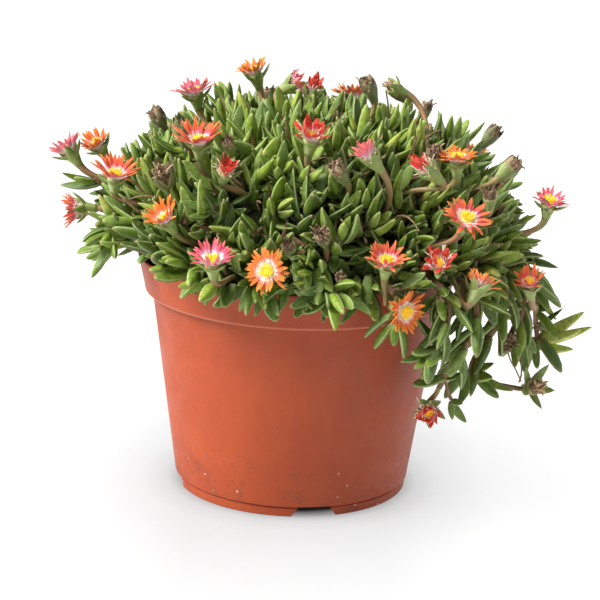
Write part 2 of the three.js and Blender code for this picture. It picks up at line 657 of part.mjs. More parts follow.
// Cores and bare stems
const parts = coreSolids().map((core, clump) => [
  note(clump, "core", core),
  note(clump, "core", solidOf(stemGeometry(clump))),
]);

// Blooms and spent heads on their stalks
function standOnStalk(name, geometry, material, clump, stem, root, firstWay, seat, face, lobeAngle) {
  parts[clump].push(note(clump, stem, solidOf(stalkGeometry(root, firstWay, seat, face, lobeAngle))));
  const set = setAt(geometry, seat, face);
  note(name, name, solidOf(set));
  addMesh(name, set, material);
}

function growFromMound(name, geometry, material, spot, lobeAngle) {
  const heading = direction(spot.azimuth, spot.elevation);
  const clump = clumpOf(heading);
  const rooted = keptInside(direction(spot.azimuth, Math.max(spot.elevation, 9)), clump, 3);
  const normal = moundNormal(rooted);
  const root = moundPoint(CORE_RADII, rooted).addScaledVector(normal, -4);
  const face = direction(...spot.facing);
  const middle = moundPoint(TIP_RADII, heading).addScaledVector(heading, spot.rise);
  const seat = middle.addScaledVector(face, -2 - 5 * Math.sin(lobeAngle * RADIANS));
  standOnStalk(name, geometry, material, clump, name, root, normal, seat, face, lobeAngle);
}

BLOOMS.forEach((bloom, i) => {
  const name = "bloom_" + twoDigits(i);
  growFromMound(name, bloomGeometry(bloom), COLOURS[bloom.tone], bloom, bloom.raised - 12);
});
SPENT_HEADS.forEach((head, i) => {
  growFromMound("spent_head_" + twoDigits(i), spentHeadGeometry(), COLOURS.spent, head, 64);
});

// Reaching stems, each from the core's edge: bare at first, then with leafy joints out to its end
TRAILS.forEach(({ route, joints: count, last, bloom }, trail) => {
  const curve = new THREE.CatmullRomCurve3(route.map((point) => new THREE.Vector3(...point)));
  const node = clumpOf(curve.getPoint(0).sub(MOUND_CENTRE).divide(CORE_RADII).normalize());
  const outward = curve.getPoint(0.5).sub(MOUND_CENTRE);
  const sideways = new THREE.Vector3(-outward.y, outward.x, 0).normalize();
  const stem = "trail " + trail;
  if (bloom) {
    const name = "bloom_" + twoDigits(BLOOMS.length);
    standOnStalk(name, bloomGeometry(bloom), COLOURS[bloom.tone], node, stem, curve.getPoint(1),
      curve.getTangent(1), new THREE.Vector3(...bloom.at), direction(...bloom.facing), bloom.raised - 12);
  }
  const joints = [0.04, 0.1].map((share) => {
    const axis = curve.getTangent(share);
    return { centre: curve.getPoint(share), axis, spokes: spokesAround(axis, sideways, 0) };
  });
  for (let i = 1; i <= count; i += 1) {
    const share = 0.1 + 0.9 * (i / count);
    const axis = curve.getTangent(share);
    const pair = i === count ? last : TRAIL_PAIR;
    const twist = i * 45 * RADIANS;
    joints.push(leafyJoint(node, stem, curve.getPoint(share), axis, sideways, twist, [pair, pair]));
  }
  parts[node].push(note(node, stem, stemSolid(curve.getPoint(0), joints)));
});

// Shoots over the mound, set out on a golden-angle spiral; the lowest droop over the rim
for (let shoot = 0; shoot < SHOOT_COUNT; shoot += 1) {
  const sine = 1 - ((shoot + 0.5) / SHOOT_COUNT) ** SHOOT_CROWDING * (1 - SHOOT_LOWEST);
  const azimuth = shoot * 137.508 + 6 * (random() - 0.5);
  const rootSine = Math.max(sine, 0.05 + 0.1 * Math.max(0, -Math.cos(azimuth * RADIANS)));
  const heading = direction(azimuth, Math.asin(rootSine) / RADIANS);
  const node = clumpOf(heading);
  const rooted = keptInside(heading, node, 4);
  const normal = moundNormal(rooted);
  const root = moundPoint(CORE_RADII, rooted).addScaledVector(normal, 0.5);
  const level = new THREE.Vector3(-normal.y, normal.x, 0).normalize();
  const droop = (rootSine - sine) * SKIRT_DROOP * (1 - Math.abs(normal.x)) * RADIANS;
  const axis = normal.clone().applyAxisAngle(level, droop)
    .add(direction(360 * random(), 0).multiplyScalar(0.22)).normalize();
  const joint = leafyJoint(node, shoot, root, axis, level, 2 * Math.PI * random(), [LOWER_PAIR, UPPER_PAIR]);
  const solid = stemSolid(root.clone().addScaledVector(axis, -SHOOT_SUNK), [joint]);
  const missed = joint.tips.filter((tip) => !tip).length;
  if (missed > 2 || crosses(solid, (other) => other.node !== node)) continue;
  parts[node].push(note(node, shoot, solid));
}

parts.forEach((solids, clump) => {
  addMesh("leafy_stem_" + twoDigits(clump), singleBody(solids), COLOURS.leaf);
});

export default plant;
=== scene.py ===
# A potted ice plant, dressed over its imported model: a moulded nursery pot full of potting mix, woody
# stems, a mound of fleshy leaves with some stems trailing over the rim, and daisy-like blooms from
# orange to pink and red on green stalks. It is in metres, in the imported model's frame: the pot stands
# on z = 0, on its own axis. Lengths in the tables are millimetres, and MM turns them to metres.
import math
import random

import bmesh
import bpy
import numpy as np
from mathutils import Matrix, Vector, noise


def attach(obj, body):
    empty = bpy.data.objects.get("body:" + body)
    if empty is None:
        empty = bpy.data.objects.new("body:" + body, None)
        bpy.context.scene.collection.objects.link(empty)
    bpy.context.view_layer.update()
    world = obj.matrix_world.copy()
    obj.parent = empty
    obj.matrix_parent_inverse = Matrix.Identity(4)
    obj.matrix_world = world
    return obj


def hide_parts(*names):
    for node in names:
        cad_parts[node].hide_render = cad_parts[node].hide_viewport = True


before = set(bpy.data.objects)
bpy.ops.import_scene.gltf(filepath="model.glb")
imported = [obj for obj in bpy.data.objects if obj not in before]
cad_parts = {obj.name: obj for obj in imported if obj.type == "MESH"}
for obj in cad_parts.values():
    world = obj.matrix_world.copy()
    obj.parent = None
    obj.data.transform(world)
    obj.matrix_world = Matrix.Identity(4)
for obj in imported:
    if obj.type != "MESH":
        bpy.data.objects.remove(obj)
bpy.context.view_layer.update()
MM = 0.001


# Nursery pot: one thin moulding of terracotta-coloured polypropylene, with a flared collar, a foot
# ring, a gutter under its floor, four drain notches and four drain holes. The plastic is satin, a
# little scuffed, and has grit and dried splashes stuck to it near the foot.
POT_HEIGHT = 110
POT_STEPS = 144
WALL_FOOT = (55.4, 5.1)
WALL_TOP = (67.9, 92.7)
COLLAR_FOOT = (71.2, 93.6)
RIM_RADIUS = 75
FIRST_NOTCH = -78  # degrees round the pot
pot_profile = [  # radius and height, from the middle of the underside round to the inside of the floor
    (0, 0), (21.6, 0), (22.2, 0.4), (25, 4.4), (50.8, 4.4), (51.4, 0.4), (51.8, 0),
    (54.0, 0), (54.4, 0.4), (54.6, 3.9), (54.2, 4.3), (54.1, 4.8), WALL_FOOT,
    (61.6, 48.6), WALL_TOP, (68.4, 93.0), (70.8, 93.2), COLLAR_FOOT, (71.5, 94.6), (71.6, 95.8),
    (74.8, 109.5), (74.6, 110), (73.5, 110), (73.2, 109.6),
    (69.8, 95.4), (66.4, 93.4), (53.9, 6.2), (0, 6),
]

bpy.ops.object.select_all(action="DESELECT")
outline = bpy.data.meshes.new("nursery_pot")
outline.from_pydata(
    [(radius * MM, 0, height * MM) for radius, height in pot_profile],
    [(i, i + 1) for i in range(len(pot_profile) - 1)],
    [],
)
pot = bpy.data.objects.new("nursery_pot", outline)
bpy.context.collection.objects.link(pot)
bpy.context.view_layer.objects.active = pot
pot.select_set(True)
bpy.ops.object.mode_set(mode="EDIT")
bpy.ops.mesh.select_all(action="SELECT")
bpy.ops.mesh.spin(
    steps=POT_STEPS, angle=2 * math.pi, center=(0, 0, 0), axis=(0, 0, 1), use_auto_merge=True
)
bpy.ops.mesh.select_all(action="SELECT")
bpy.ops.mesh.remove_doubles(threshold=1e-6)


def faced_outwards():
    """Turns all faces of the piece that is in edit mode outwards, and leaves edit mode."""
    bpy.ops.mesh.select_all(action="SELECT")
    bpy.ops.mesh.normals_make_consistent(inside=False)
    bpy.ops.object.mode_set(mode="OBJECT")


faced_outwards()


def cut_away(piece, cutter):
    """Takes the cutter's shape out of the piece. The cutter itself goes."""
    cut = piece.modifiers.new("cut", "BOOLEAN")
    cut.operation = "DIFFERENCE"
    cut.solver = "EXACT"
    cut.object = cutter
    bpy.context.view_layer.objects.active = piece
    bpy.ops.object.modifier_apply(modifier=cut.name)
    bpy.data.objects.remove(cutter)


def select_where(piece, wanted):
    """Selects the piece's corners whose place wanted(place) says yes to. The piece is in edit mode."""
    sketch = bmesh.from_edit_mesh(piece.data)
    bpy.ops.mesh.select_all(action="DESELECT")
    for corner in sketch.verts:
        corner.select = bool(wanted(corner.co))
    sketch.select_flush(True)
    bmesh.update_edit_mesh(piece.data)


def started(add, **sizes):
    """A new primitive, with nothing else selected."""
    bpy.ops.object.select_all(action="DESELECT")
    add(**sizes)
    return bpy.context.object


NOTCH_BOTTOM = 23.6
NOTCH_TOP = 14.3
NOTCH_HEIGHT = 4.9
NOTCH_AT = 54  # from the pot's axis
NOTCH_DEPTH = 10
HOLE_RADIUS = 4
HOLE_AT = 42
FLOOR_MIDDLE = 5
for turn in [math.radians(FIRST_NOTCH + 90 * i) for i in range(4)]:
    notch = started(bpy.ops.mesh.primitive_cube_add, size=1)
    bpy.ops.object.mode_set(mode="EDIT")
    bpy.ops.transform.resize(value=(NOTCH_DEPTH * MM, NOTCH_BOTTOM * MM, (NOTCH_HEIGHT + 2) * MM))
    select_where(notch, lambda place: place.z > 0)
    bpy.ops.transform.resize(value=(1, NOTCH_TOP / NOTCH_BOTTOM, 1))
    bpy.ops.object.mode_set(mode="OBJECT")
    notch.matrix_world = Matrix.Rotation(turn, 4, "Z") @ Matrix.Translation(
        (NOTCH_AT * MM, 0, (NOTCH_HEIGHT / 2 - 1) * MM)
    )
    cut_away(pot, notch)
    hole = started(
        bpy.ops.mesh.primitive_cylinder_add,
        vertices=24, radius=HOLE_RADIUS * MM, depth=2 * HOLE_RADIUS * MM,
        location=(HOLE_AT * MM * math.cos(turn), HOLE_AT * MM * math.sin(turn), FLOOR_MIDDLE * MM),
    )
    cut_away(pot, hole)

bpy.ops.object.select_all(action="DESELECT")
pot.select_set(True)
bpy.context.view_layer.objects.active = pot
bpy.ops.object.shade_smooth_by_angle(angle=math.radians(32))


def new_finish(name, roughness):
    """A material, with its node tree and its shader."""
    finish = bpy.data.materials.new(name)
    finish.use_nodes = True
    shader = finish.node_tree.nodes["Principled BSDF"]
    shader.inputs["Roughness"].default_value = roughness
    return finish, finish.node_tree, shader


def patterned(tree, kind, scale):
    """A pattern in the piece's own space, so many cells to the metre."""
    pattern = tree.nodes.new(kind)
    pattern.inputs["Scale"].default_value = scale
    tree.links.new(tree.nodes.new("ShaderNodeTexCoord").outputs["Object"], pattern.inputs["Vector"])
    return pattern


def speckle(tree, scale, detail, roughness=0.55):
    """The value of a noise pattern."""
    pattern = patterned(tree, "ShaderNodeTexNoise", scale)
    pattern.inputs["Detail"].default_value = detail
    pattern.inputs["Roughness"].default_value = roughness
    return pattern.outputs["Fac"]


def between(tree, value, low, high, low_gives=0.0, high_gives=1.0):
    """A value spread from low..high to 0..1, or to the two results given, and held there past them."""
    spread = tree.nodes.new("ShaderNodeMapRange")
    spread.inputs["From Min"].default_value = low
    spread.inputs["From Max"].default_value = high
    spread.inputs["To Min"].default_value = low_gives
    spread.inputs["To Max"].default_value = high_gives
    tree.links.new(value, spread.inputs["Value"])
    return spread.outputs["Result"]


def worked_out(tree, operation, first, second):
    """One sum on two values, each a socket or a number."""
    sum_node = tree.nodes.new("ShaderNodeMath")
    sum_node.operation = operation
    for socket, value in zip(sum_node.inputs, (first, second)):
        if isinstance(value, (int, float)):
            socket.default_value = value
        else:
            tree.links.new(value, socket)
    return sum_node.outputs["Value"]


def mixed(tree, share, first, second):
    """Two colours mixed, each a socket or (r, g, b)."""
    mix = tree.nodes.new("ShaderNodeMix")
    mix.data_type = "RGBA"
    tree.links.new(share, mix.inputs["Factor"])
    for name, value in (("A", first), ("B", second)):
        if isinstance(value, tuple):
            mix.inputs[name].default_value = (*value, 1)
        else:
            tree.links.new(value, mix.inputs[name])
    return mix.outputs["Result"]


def raised(tree, shader, height, distance, strength):
    """A bump of that height pattern, distance metres deep."""
    bump = tree.nodes.new("ShaderNodeBump")
    bump.inputs["Strength"].default_value = strength
    bump.inputs["Distance"].default_value = distance
    tree.links.new(height, bump.inputs["Height"])
    tree.links.new(bump.outputs["Normal"], shader.inputs["Normal"])


terracotta, tree, shader = new_finish("terracotta_plastic", 0.42)
shader.inputs["Specular IOR Level"].default_value = 0.42
place = tree.nodes.new("ShaderNodeSeparateXYZ")
tree.links.new(tree.nodes.new("ShaderNodeTexCoord").outputs["Object"], place.inputs["Vector"])
height = place.outputs["Z"]
cloudy = speckle(tree, 26, detail=7, roughness=0.68)
colour = mixed(tree, between(tree, cloudy, 0.32, 0.68),
               (0.345, 0.048, 0.0065), (0.43, 0.067, 0.0125))
streaks = speckle(tree, 260, detail=2)
drawn_out = tree.nodes.new("ShaderNodeMapping")
drawn_out.inputs["Scale"].default_value = (1, 1, 0.08)
streak_place = streaks.node.inputs["Vector"]
tree.links.new(streak_place.links[0].from_socket, drawn_out.inputs["Vector"])
tree.links.new(drawn_out.outputs["Vector"], streak_place)
colour = mixed(tree, between(tree, streaks, 0.35, 0.75, 0, 0.4), colour, (0.33, 0.047, 0.01))
near_foot = between(tree, height, 0.004, 0.03, 1, 0)
smudges = speckle(tree, 85, detail=6, roughness=0.7)
smudged = between(tree, smudges, 0.54, 0.68, 0, 0.8)
colour = mixed(tree, worked_out(tree, "MULTIPLY", smudged, near_foot),
               colour, (0.12, 0.045, 0.03))
grit = patterned(tree, "ShaderNodeTexVoronoi", 460)
grain = between(tree, grit.outputs["Distance"], 0.16, 0.32, 1, 0)
chosen = tree.nodes.new("ShaderNodeSeparateColor")
tree.links.new(grit.outputs["Color"], chosen.inputs["Color"])
rarer_higher = between(tree, height, 0.0, 0.028, 0.9, 1.0)
pale_grit = worked_out(tree, "GREATER_THAN", chosen.outputs["Red"], rarer_higher)
colour = mixed(tree, worked_out(tree, "MULTIPLY", grain, pale_grit), colour, (0.52, 0.4, 0.32))
rarer_higher = between(tree, height, 0.0, 0.05, 0.1, 0.004)
dark_grit = worked_out(tree, "LESS_THAN", chosen.outputs["Red"], rarer_higher)
dark_grit = worked_out(tree, "MULTIPLY", worked_out(tree, "MULTIPLY", grain, dark_grit), 0.7)
colour = mixed(tree, dark_grit, colour, (0.1, 0.045, 0.03))
# Painted highlight: a thin pale line round the foot of the collar, where its small bead catches the
# light.
painted_lip_highlight = worked_out(tree, "MULTIPLY",
                 between(tree, height, 0.0932, 0.0935, 0, 0.34),
                 between(tree, height, 0.0938, 0.0944, 1, 0))
colour = mixed(tree, painted_lip_highlight, colour, (0.72, 0.32, 0.2))
tree.links.new(colour, shader.inputs["Base Color"])
matt = between(tree, smudges, 0.4, 0.65, 0.44, 0.58)
tree.links.new(matt, shader.inputs["Roughness"])
skin = speckle(tree, 300, detail=8, roughness=0.7)
raised(tree, shader, skin, 0.0003, 0.4)
pot.data.materials.append(terracotta)
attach(pot, "root")
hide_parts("pot")


# Potting mix: damp dark peat and bark that fills the pot to a little under its rim. It is poured in
# and firmed round the roots, so its top is lumpy and a little higher in the middle.
SOIL_FOOT = (53.2, 6.6)  # radius and height
SOIL_SHOULDER = (65.6, 94.6)
SOIL_RADIUS = 69.3
SOIL_EDGE = 97
SOIL_MIDDLE = 100
LUMP = 1.1


def drawn_up(rise, wider, thicker=None):
    """Extrudes what is selected upwards by that many millimetres and widens its end."""
    bpy.ops.mesh.extrude_region_move(TRANSFORM_OT_translate={"value": (0, 0, rise * MM)})
    bpy.ops.transform.resize(value=(wider, thicker or wider, 1), center_override=(0, 0, 0))


soil = started(
    bpy.ops.mesh.primitive_cylinder_add, vertices=72, radius=SOIL_FOOT[0] * MM, end_fill_type="TRIFAN",
    depth=(SOIL_SHOULDER[1] - SOIL_FOOT[1]) * MM,
    location=(0, 0, (SOIL_SHOULDER[1] + SOIL_FOOT[1]) / 2 * MM),
)
soil.name = "potting_mix"
bpy.ops.object.transform_apply(location=True)
bpy.ops.object.mode_set(mode="EDIT")
select_where(soil, lambda place: place.z > 50 * MM)
widening = SOIL_SHOULDER[0] / SOIL_FOOT[0]
bpy.ops.transform.resize(value=(widening, widening, 1), center_override=(0, 0, 0))
drawn_up(SOIL_EDGE + 0.2 - SOIL_SHOULDER[1], SOIL_RADIUS / SOIL_SHOULDER[0])
bpy.ops.mesh.subdivide(number_cuts=3)
select_where(soil, lambda place: place.z > SOIL_EDGE * MM and place.xy.length < 60 * MM)
bpy.ops.mesh.subdivide(number_cuts=2)
bpy.ops.object.mode_set(mode="OBJECT")
for corner in soil.data.vertices:
    if corner.co.z > SOIL_EDGE * MM:
        inward = 1 - corner.co.xy.length / (SOIL_RADIUS * MM)
        lump = noise.fractal(corner.co * 240, 1.0, 2.0, 4)
        corner.co.z += (inward * (SOIL_MIDDLE - SOIL_EDGE) + min(1, 6 * inward) * LUMP * lump) * MM
bpy.ops.object.shade_smooth_by_angle(angle=math.radians(50))


def two_toned(name, roughness, pattern, spread, dark, pale, relief):
    """A finish that wanders between two colours and stands up where it is pale. The pattern is a
    noise's scale, detail and roughness; the relief is its depth in metres and its strength."""
    finish, tree, shader = new_finish(name, roughness)
    wander = speckle(tree, *pattern)
    colour = mixed(tree, between(tree, wander, *spread), dark, pale)
    tree.links.new(colour, shader.inputs["Base Color"])
    raised(tree, shader, wander, *relief)
    return finish


peat = two_toned("damp_peat", 0.95, (420, 8, 0.75), (0.35, 0.68),
                 (0.012, 0.008, 0.005), (0.085, 0.05, 0.03), (0.0012, 0.9))
soil.data.materials.append(peat)
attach(soil, "root")
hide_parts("soil")


# Woody stems: old brown stems that stand in the mix and branch out under the leaves, one branch to
# each leafy shoot, and dry twigs that stick out between the leaves. They grow as one with the shoots.
MOUND_CENTRE = Vector((5.5, 0, 112))
TIP_RADII = Vector((102.5, 91, 73))
CORE_RADII = Vector((87, 75, 55))
MOUND_SQUARENESS = 2.4
CLUMP_RINGS = [(1, 90, 0), (5, 55.6, 20), (7, 31.7, -8), (7, 10, -30)]  # count, elevation, phase
FOOT_SHARE = 0.56  # how far out the stems stand in the soil, next to their clumps
FOOT_HEIGHT = 86
TWIGS = 70
SHOOTS = 330
SHOOT_CROWDING = 1.14
SHOOT_LOWEST = -0.2
SKIRT_DROOP = 165
SPIRAL_STEP = 137.508
chance = random.Random(7)


def heading(azimuth, elevation):
    """The direction at that azimuth and elevation in degrees."""
    level = math.cos(math.radians(elevation))
    return Vector((
        level * math.cos(math.radians(azimuth)),
        level * math.sin(math.radians(azimuth)),
        math.sin(math.radians(elevation)),
    ))


def mound_point(radii, way):
    """Where that direction meets the mound of those radii, in millimetres."""
    level = math.hypot(way.x, way.y)
    power = MOUND_SQUARENESS
    swelling = (level ** power + abs(way.z) ** power) ** (-1 / power)
    lumps = 1 + 0.02 * level * math.sin(3 * math.atan2(way.y, way.x) + 1.3)
    return MOUND_CENTRE + way * radii * swelling * lumps


def mound_normal(way):
    """Which way the mound's surface looks there."""
    return Vector((way.x / CORE_RADII.x, way.y / CORE_RADII.y, way.z / CORE_RADII.z)).normalized()


clumps = [
    heading(phase + 360 * i / count, elevation)
    for count, elevation, phase in CLUMP_RINGS for i in range(count)
]


def clump_of(way):
    """The number of the leafy stem that a direction on the mound belongs to."""
    return max(range(len(clumps)), key=lambda i: clumps[i].dot(way))


def stray(amount):
    """A random offset of about that size."""
    return Vector((chance.gauss(0, 1), chance.gauss(0, 1), chance.gauss(0, 1))) * amount / 1.7


def turned(way, axis, degrees):
    """A direction turned that far about an axis."""
    return Matrix.Rotation(math.radians(degrees), 3, axis) @ way


def bowed(start, first_way, end, last_way, steps):
    """Points of a smooth curve that leaves start along first_way and comes to end along last_way."""
    points = []
    for i in range(steps + 1):
        t = i / steps
        a = start + first_way
        b = end - last_way
        points.append(
            start * (1 - t) ** 3 + a * 3 * t * (1 - t) ** 2 + b * 3 * t * t * (1 - t) + end * t ** 3
        )
    return points


def grown_tubes(name, paths):
    """One mesh of round tapering stems. A path is a list of (point, radius) in millimetres."""
    drawn = bpy.data.curves.new(name, "CURVE")
    drawn.dimensions = "3D"
    drawn.bevel_depth = MM
    drawn.bevel_resolution = 1
    drawn.use_fill_caps = True
    for path in paths:
        line = drawn.splines.new("POLY")
        line.points.add(len(path) - 1)
        for knot, (point, radius) in zip(line.points, path):
            knot.co = (*(point * MM), 1)
            knot.radius = radius
    piece = bpy.data.objects.new(name, drawn)
    bpy.context.collection.objects.link(piece)
    bpy.ops.object.select_all(action="DESELECT")
    piece.select_set(True)
    bpy.context.view_layer.objects.active = piece
    bpy.ops.object.convert(target="MESH")
    bpy.ops.object.shade_smooth()
    return piece


shoots = []
for k in range(SHOOTS):
    sine = 1 - ((k + 0.5) / SHOOTS) ** SHOOT_CROWDING * (1 - SHOOT_LOWEST)
    azimuth = k * SPIRAL_STEP + chance.uniform(-3, 3)
    root_sine = max(sine, 0.05 + 0.1 * max(0, -math.cos(math.radians(azimuth))))
    way = heading(azimuth, math.degrees(math.asin(root_sine)))
    normal = mound_normal(way)
    level = Vector((-normal.y, normal.x, 0)).normalized()
    droop = (root_sine - sine) * SKIRT_DROOP * (1 - abs(normal.x))
    axis = (turned(normal, level, droop) + stray(0.85)).normalized()
    root = mound_point(CORE_RADII, way) + normal * (chance.uniform(-9, 0) - 5 * max(0, way.x) ** 2)
    shoots.append({"root": root, "axis": axis, "clump": clump_of(way), "low": root_sine - sine})

stem_paths = []
for number, way in enumerate(clumps):
    middle = mound_point(CORE_RADII, way)
    foot = Vector((middle.x * FOOT_SHARE, middle.y * FOOT_SHARE, FOOT_HEIGHT))
    fork = foot.lerp(middle, 0.45) + Vector((0, 0, 8))
    trunk = bowed(foot, Vector((0, 0, 14)), fork, (fork - foot) * 0.3, 6)
    stem_paths.append([(point, 2.3 - 0.1 * i) for i, point in enumerate(trunk)])
    for shoot in [shoot for shoot in shoots if shoot["clump"] == number]:
        reach = (shoot["root"] - fork).length
        branch = bowed(fork, (middle - fork).normalized() * reach * 0.35,
                       shoot["root"], shoot["axis"] * reach * 0.3, 5)
        stem_paths.append([(point, 1.5 - 0.12 * i) for i, point in enumerate(branch)])
for _ in range(TWIGS):
    way = heading(chance.uniform(0, 360), chance.uniform(5, 85))
    start = mound_point(CORE_RADII, way)
    out = mound_normal(way)
    side = stray(9)
    twig = bowed(start, out * 7, start + out * chance.uniform(9, 15) + side, side * 0.6, 5)
    stem_paths.append([(point, 0.62 - 0.06 * i) for i, point in enumerate(twig)])
stems = grown_tubes("woody_stems", stem_paths)

bark = two_toned("tan_bark", 0.8, (700, 5), (0.3, 0.7),
                 (0.1, 0.055, 0.028), (0.34, 0.2, 0.1), (0.0004, 0.7))
stems.data.materials.append(bark)
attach(stems, "root")


# Heart of the mound: the tangle of old stems and shed leaves under the living ones, too dense to see
# into. It is one rough mass that the shoots stand well out of, flat underneath over the rim, and its
# near-black colour is painted shade, the deep shade in the gaps between the leaves.
TANGLE_FLOOR = 112
tangle_and_painted_shade = started(bpy.ops.mesh.primitive_ico_sphere_add, subdivisions=6, radius=1)
tangle_and_painted_shade.name = "inner_tangle_painted_shade"
for corner in tangle_and_painted_shade.data.vertices:
    way = corner.co.normalized()
    rough = noise.fractal(way * 9, 1.0, 2.0, 4) * 2.6 + noise.fractal(way * 40, 1.0, 2.0, 3) * 1.6
    corner.co = (mound_point(CORE_RADII * 0.9, way) + mound_normal(way) * rough) * MM
bpy.ops.object.mode_set(mode="EDIT")
bpy.ops.mesh.select_all(action="SELECT")
bpy.ops.mesh.bisect(
    plane_co=(0, 0, TANGLE_FLOOR * MM), plane_no=(0, 0, 1), clear_inner=True, use_fill=True
)
bpy.ops.object.mode_set(mode="OBJECT")
bpy.ops.object.shade_smooth()

# Painted shade: near-black greens for the deep shade in the gaps between the leaves.
litter_and_painted_shade = two_toned("litter_in_painted_shade", 0.9, (330, 6, 0.7), (0.38, 0.66),
                   (0.012, 0.018, 0.006), (0.075, 0.088, 0.03), (0.002, 1.0))
tangle_and_painted_shade.data.materials.append(litter_and_painted_shade)
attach(tangle_and_painted_shade, "root")


# Flower stalks: each bloom stands on a fleshy stalk, pinkish tan turning green, that grows out of the
# mound between the leaves. Blooms that are over keep theirs.
CUP_LENGTH = 7
BLOOMS = [  # azimuth and elevation on the mound, rise past the leaf tips, facing, raised, width, tone
    (164, 59, 8.5, (196, 76), 42, 23, "coral"), (129, 66, 12, (190, 72), 50, 22, "orange"),
    (110, 79, 5, (350, 34), 66, 17, "pink"), (92, 80, 4, (330, 72), 70, 20, "red"),
    (178, 27, 25, (172, 52), 48, 24, "pink"), (176, 32, 15, (220, 55), 50, 21, "orange"),
    (-157, 31, 6, (285, 76), 42, 29, "coral"), (-131, 48, 6, (262, 78), 41, 30, "coral"),
    (-116, 41, 3, (286, 50), 60, 21, "red"), (-178, 11, 12, (186, -4), 48, 26, "coral"),
    (-129, 23, 5, (222, 52), 52, 24, "orange"), (-113, 13, 5, (258, 72), 42, 26, "pink"),
    (-100, 10, 5, (242, 8), 18, 24, "orange"), (-91, 53, 8, (300, 74), 42, 24, "red"),
    (-75, 47, 9, (196, 50), 72, 21, "pink"), (-56, 43, 5, (192, 40), 68, 20, "red"),
    (-40, 44, 6, (258, 86), 30, 21, "orange"), (-48, 25, 6, (300, 60), 20, 26, "coral"),
    (0, 20, 10, (300, 76), 36, 19, "pink"), (-72, 15, 5, (280, 66), 40, 24, "coral"),
    (-58, 13, 4, (262, 34), 46, 21, "red"), (-46, 5, 7, (50, 50), 52, 22, "orange"),
    (-67, -3, 6, (312, -2), 20, 23, "orange"), (-28, 2, 8, (245, 64), 54, 22, "coral"),
    (38, 30, 5, (40, 60), 24, 25, "orange"), (66, 12, 6, (70, 30), 20, 26, "coral"),
    (88, 40, 4, (90, 62), 34, 24, "pink"), (112, 20, 5, (110, 45), 22, 26, "orange"),
    (139, 8, 6, (140, 26), 48, 24, "coral"), (70, 62, 2, (80, 72), 26, 25, "orange"),
]
LAST_BLOOM = {"at": (61, -55, 54), "facing": (262, -12), "raised": 42, "width": 19, "tone": "red"}
LAST_FOOT = ((65, -57, 66), (-0.2, 0.1, -1))  # where its stalk leaves the trailing stem, and which way
SPENT_HEADS = [  # azimuth, elevation, rise, facing
    (183, 50, 10, (200, 60)), (-85, 44, 5, (215, 50)), (-37, 77, 14, (200, 66)), (61, 53, 12, (190, 40)),
    (22, 39, 12, (20, 50)), (-88, 23, 5, (255, 42)), (120, 46, 4, (120, 60)),
]
SPENT_RAISED = 76
STALK_FEET = {  # azimuth and elevation of the feet that show, by number through the three tables
    7: (-154, 27), 8: (-129, 44), 10: (-171, 17), 11: (-126, 16), 12: (-113, 4), 14: (-92, 48),
    15: (-63, 37), 17: (-43, 40), 18: (-51, 18), 19: (-2, 11), 32: (-79, 38), 36: (-86, 13),
    52: (-12, 56),
}
FEET_ON_TRAILS = {20: (38, -81, 109), 24: (112.5, 0, 80)}
OPEN_IN_FRONT = {1, 2, 5, 10, 18, 22, 39, 52}  # those with no leaves before them
OLD_HEADS = [  # smaller heads: azimuth, elevation, rise, facing, size, how far the lobes have closed
    (-123, 51, 4, (250, 60), 0.75, 66), (-135, 35, 6, (244, 50), 1.35, 60),
    (110, 54, 6, (240, 74), 0.9, 82), (-46, 49, 6, (240, 70), 0.95, 74),
    (-14, 36, 9, (20, 40), 1.1, 66), (-35, 33, 6, (260, 76), 0.9, 80),
    (-96, 20, 4, (250, 50), 0.8, 60), (-83, 10, 3, (270, 30), 0.7, 66),
    (-26, -22, 4, (280, 40), 0.7, 60), (-150, 52, 6, (230, 70), 1.15, 80),
    (150, 35, 5, (150, 50), 0.8, 70), (50, 40, 5, (60, 60), 1, 78), (95, 25, 5, (95, 40), 0.8, 66),
    (20, 60, 5, (10, 70), 0.8, 74), (2, 75, 9, (192, 26), 0.85, 34),
]
CAPSULE = {
    "root": (104, -25, 56), "first_way": (1, 0.2, -0.2), "seat": (111, -23, 56.5), "facing": (-55, 22),
    "size": 1.15, "closed": 24,
}
TRAIL_HEAD = {
    "root": (98, -32, 84), "first_way": (0, -0.4, -1), "seat": (97, -38, 83), "facing": (-85, 10),
    "size": 0.85, "closed": 58,
}
LOBES_WIDER = 12  # degrees that the lobes of a cup stand wider than its petals
STALK_ROOM = 2.8
TOWARDS_CAMERA = Vector((0, -0.97, 0.25))
UP = Vector((0, 0, 1))

flowers = []
for number, (azimuth, elevation, rise, facing, lifted, width, tone, size, closed) in enumerate(
    [(*bloom, 1, bloom[4] - LOBES_WIDER) for bloom in BLOOMS]
    + [(*head, SPENT_RAISED, 0, "spent", 1, SPENT_RAISED - LOBES_WIDER) for head in SPENT_HEADS]
    + [(*head[:4], SPENT_RAISED, 0, "old", *head[4:]) for head in OLD_HEADS], 1
):
    way = heading(azimuth, elevation)
    rooted = heading(*STALK_FEET.get(number, (azimuth, max(elevation, 9))))
    face = heading(*facing)
    sunk = 2 + 5 * math.sin(math.radians(lifted - LOBES_WIDER))
    foot = mound_point(CORE_RADII, rooted) - mound_normal(rooted) * 4
    flowers.append({
        "root": Vector(FEET_ON_TRAILS.get(number, foot)), "face": face, "raised": lifted, "width": width,
        "first_way": UP if number in FEET_ON_TRAILS else mound_normal(rooted), "tone": tone,
        "seat": mound_point(TIP_RADII, way) + way * rise - face * sunk, "size": size, "closed": closed,
        "open": number in OPEN_IN_FRONT,
    })
flowers.insert(len(BLOOMS), {
    "root": Vector(LAST_FOOT[0]), "first_way": Vector(LAST_FOOT[1]).normalized(),
    "face": heading(*LAST_BLOOM["facing"]), "raised": LAST_BLOOM["raised"], "width": LAST_BLOOM["width"],
    "tone": LAST_BLOOM["tone"], "seat": Vector(LAST_BLOOM["at"]), "size": 1,
    "closed": LAST_BLOOM["raised"] - LOBES_WIDER, "open": True,
})
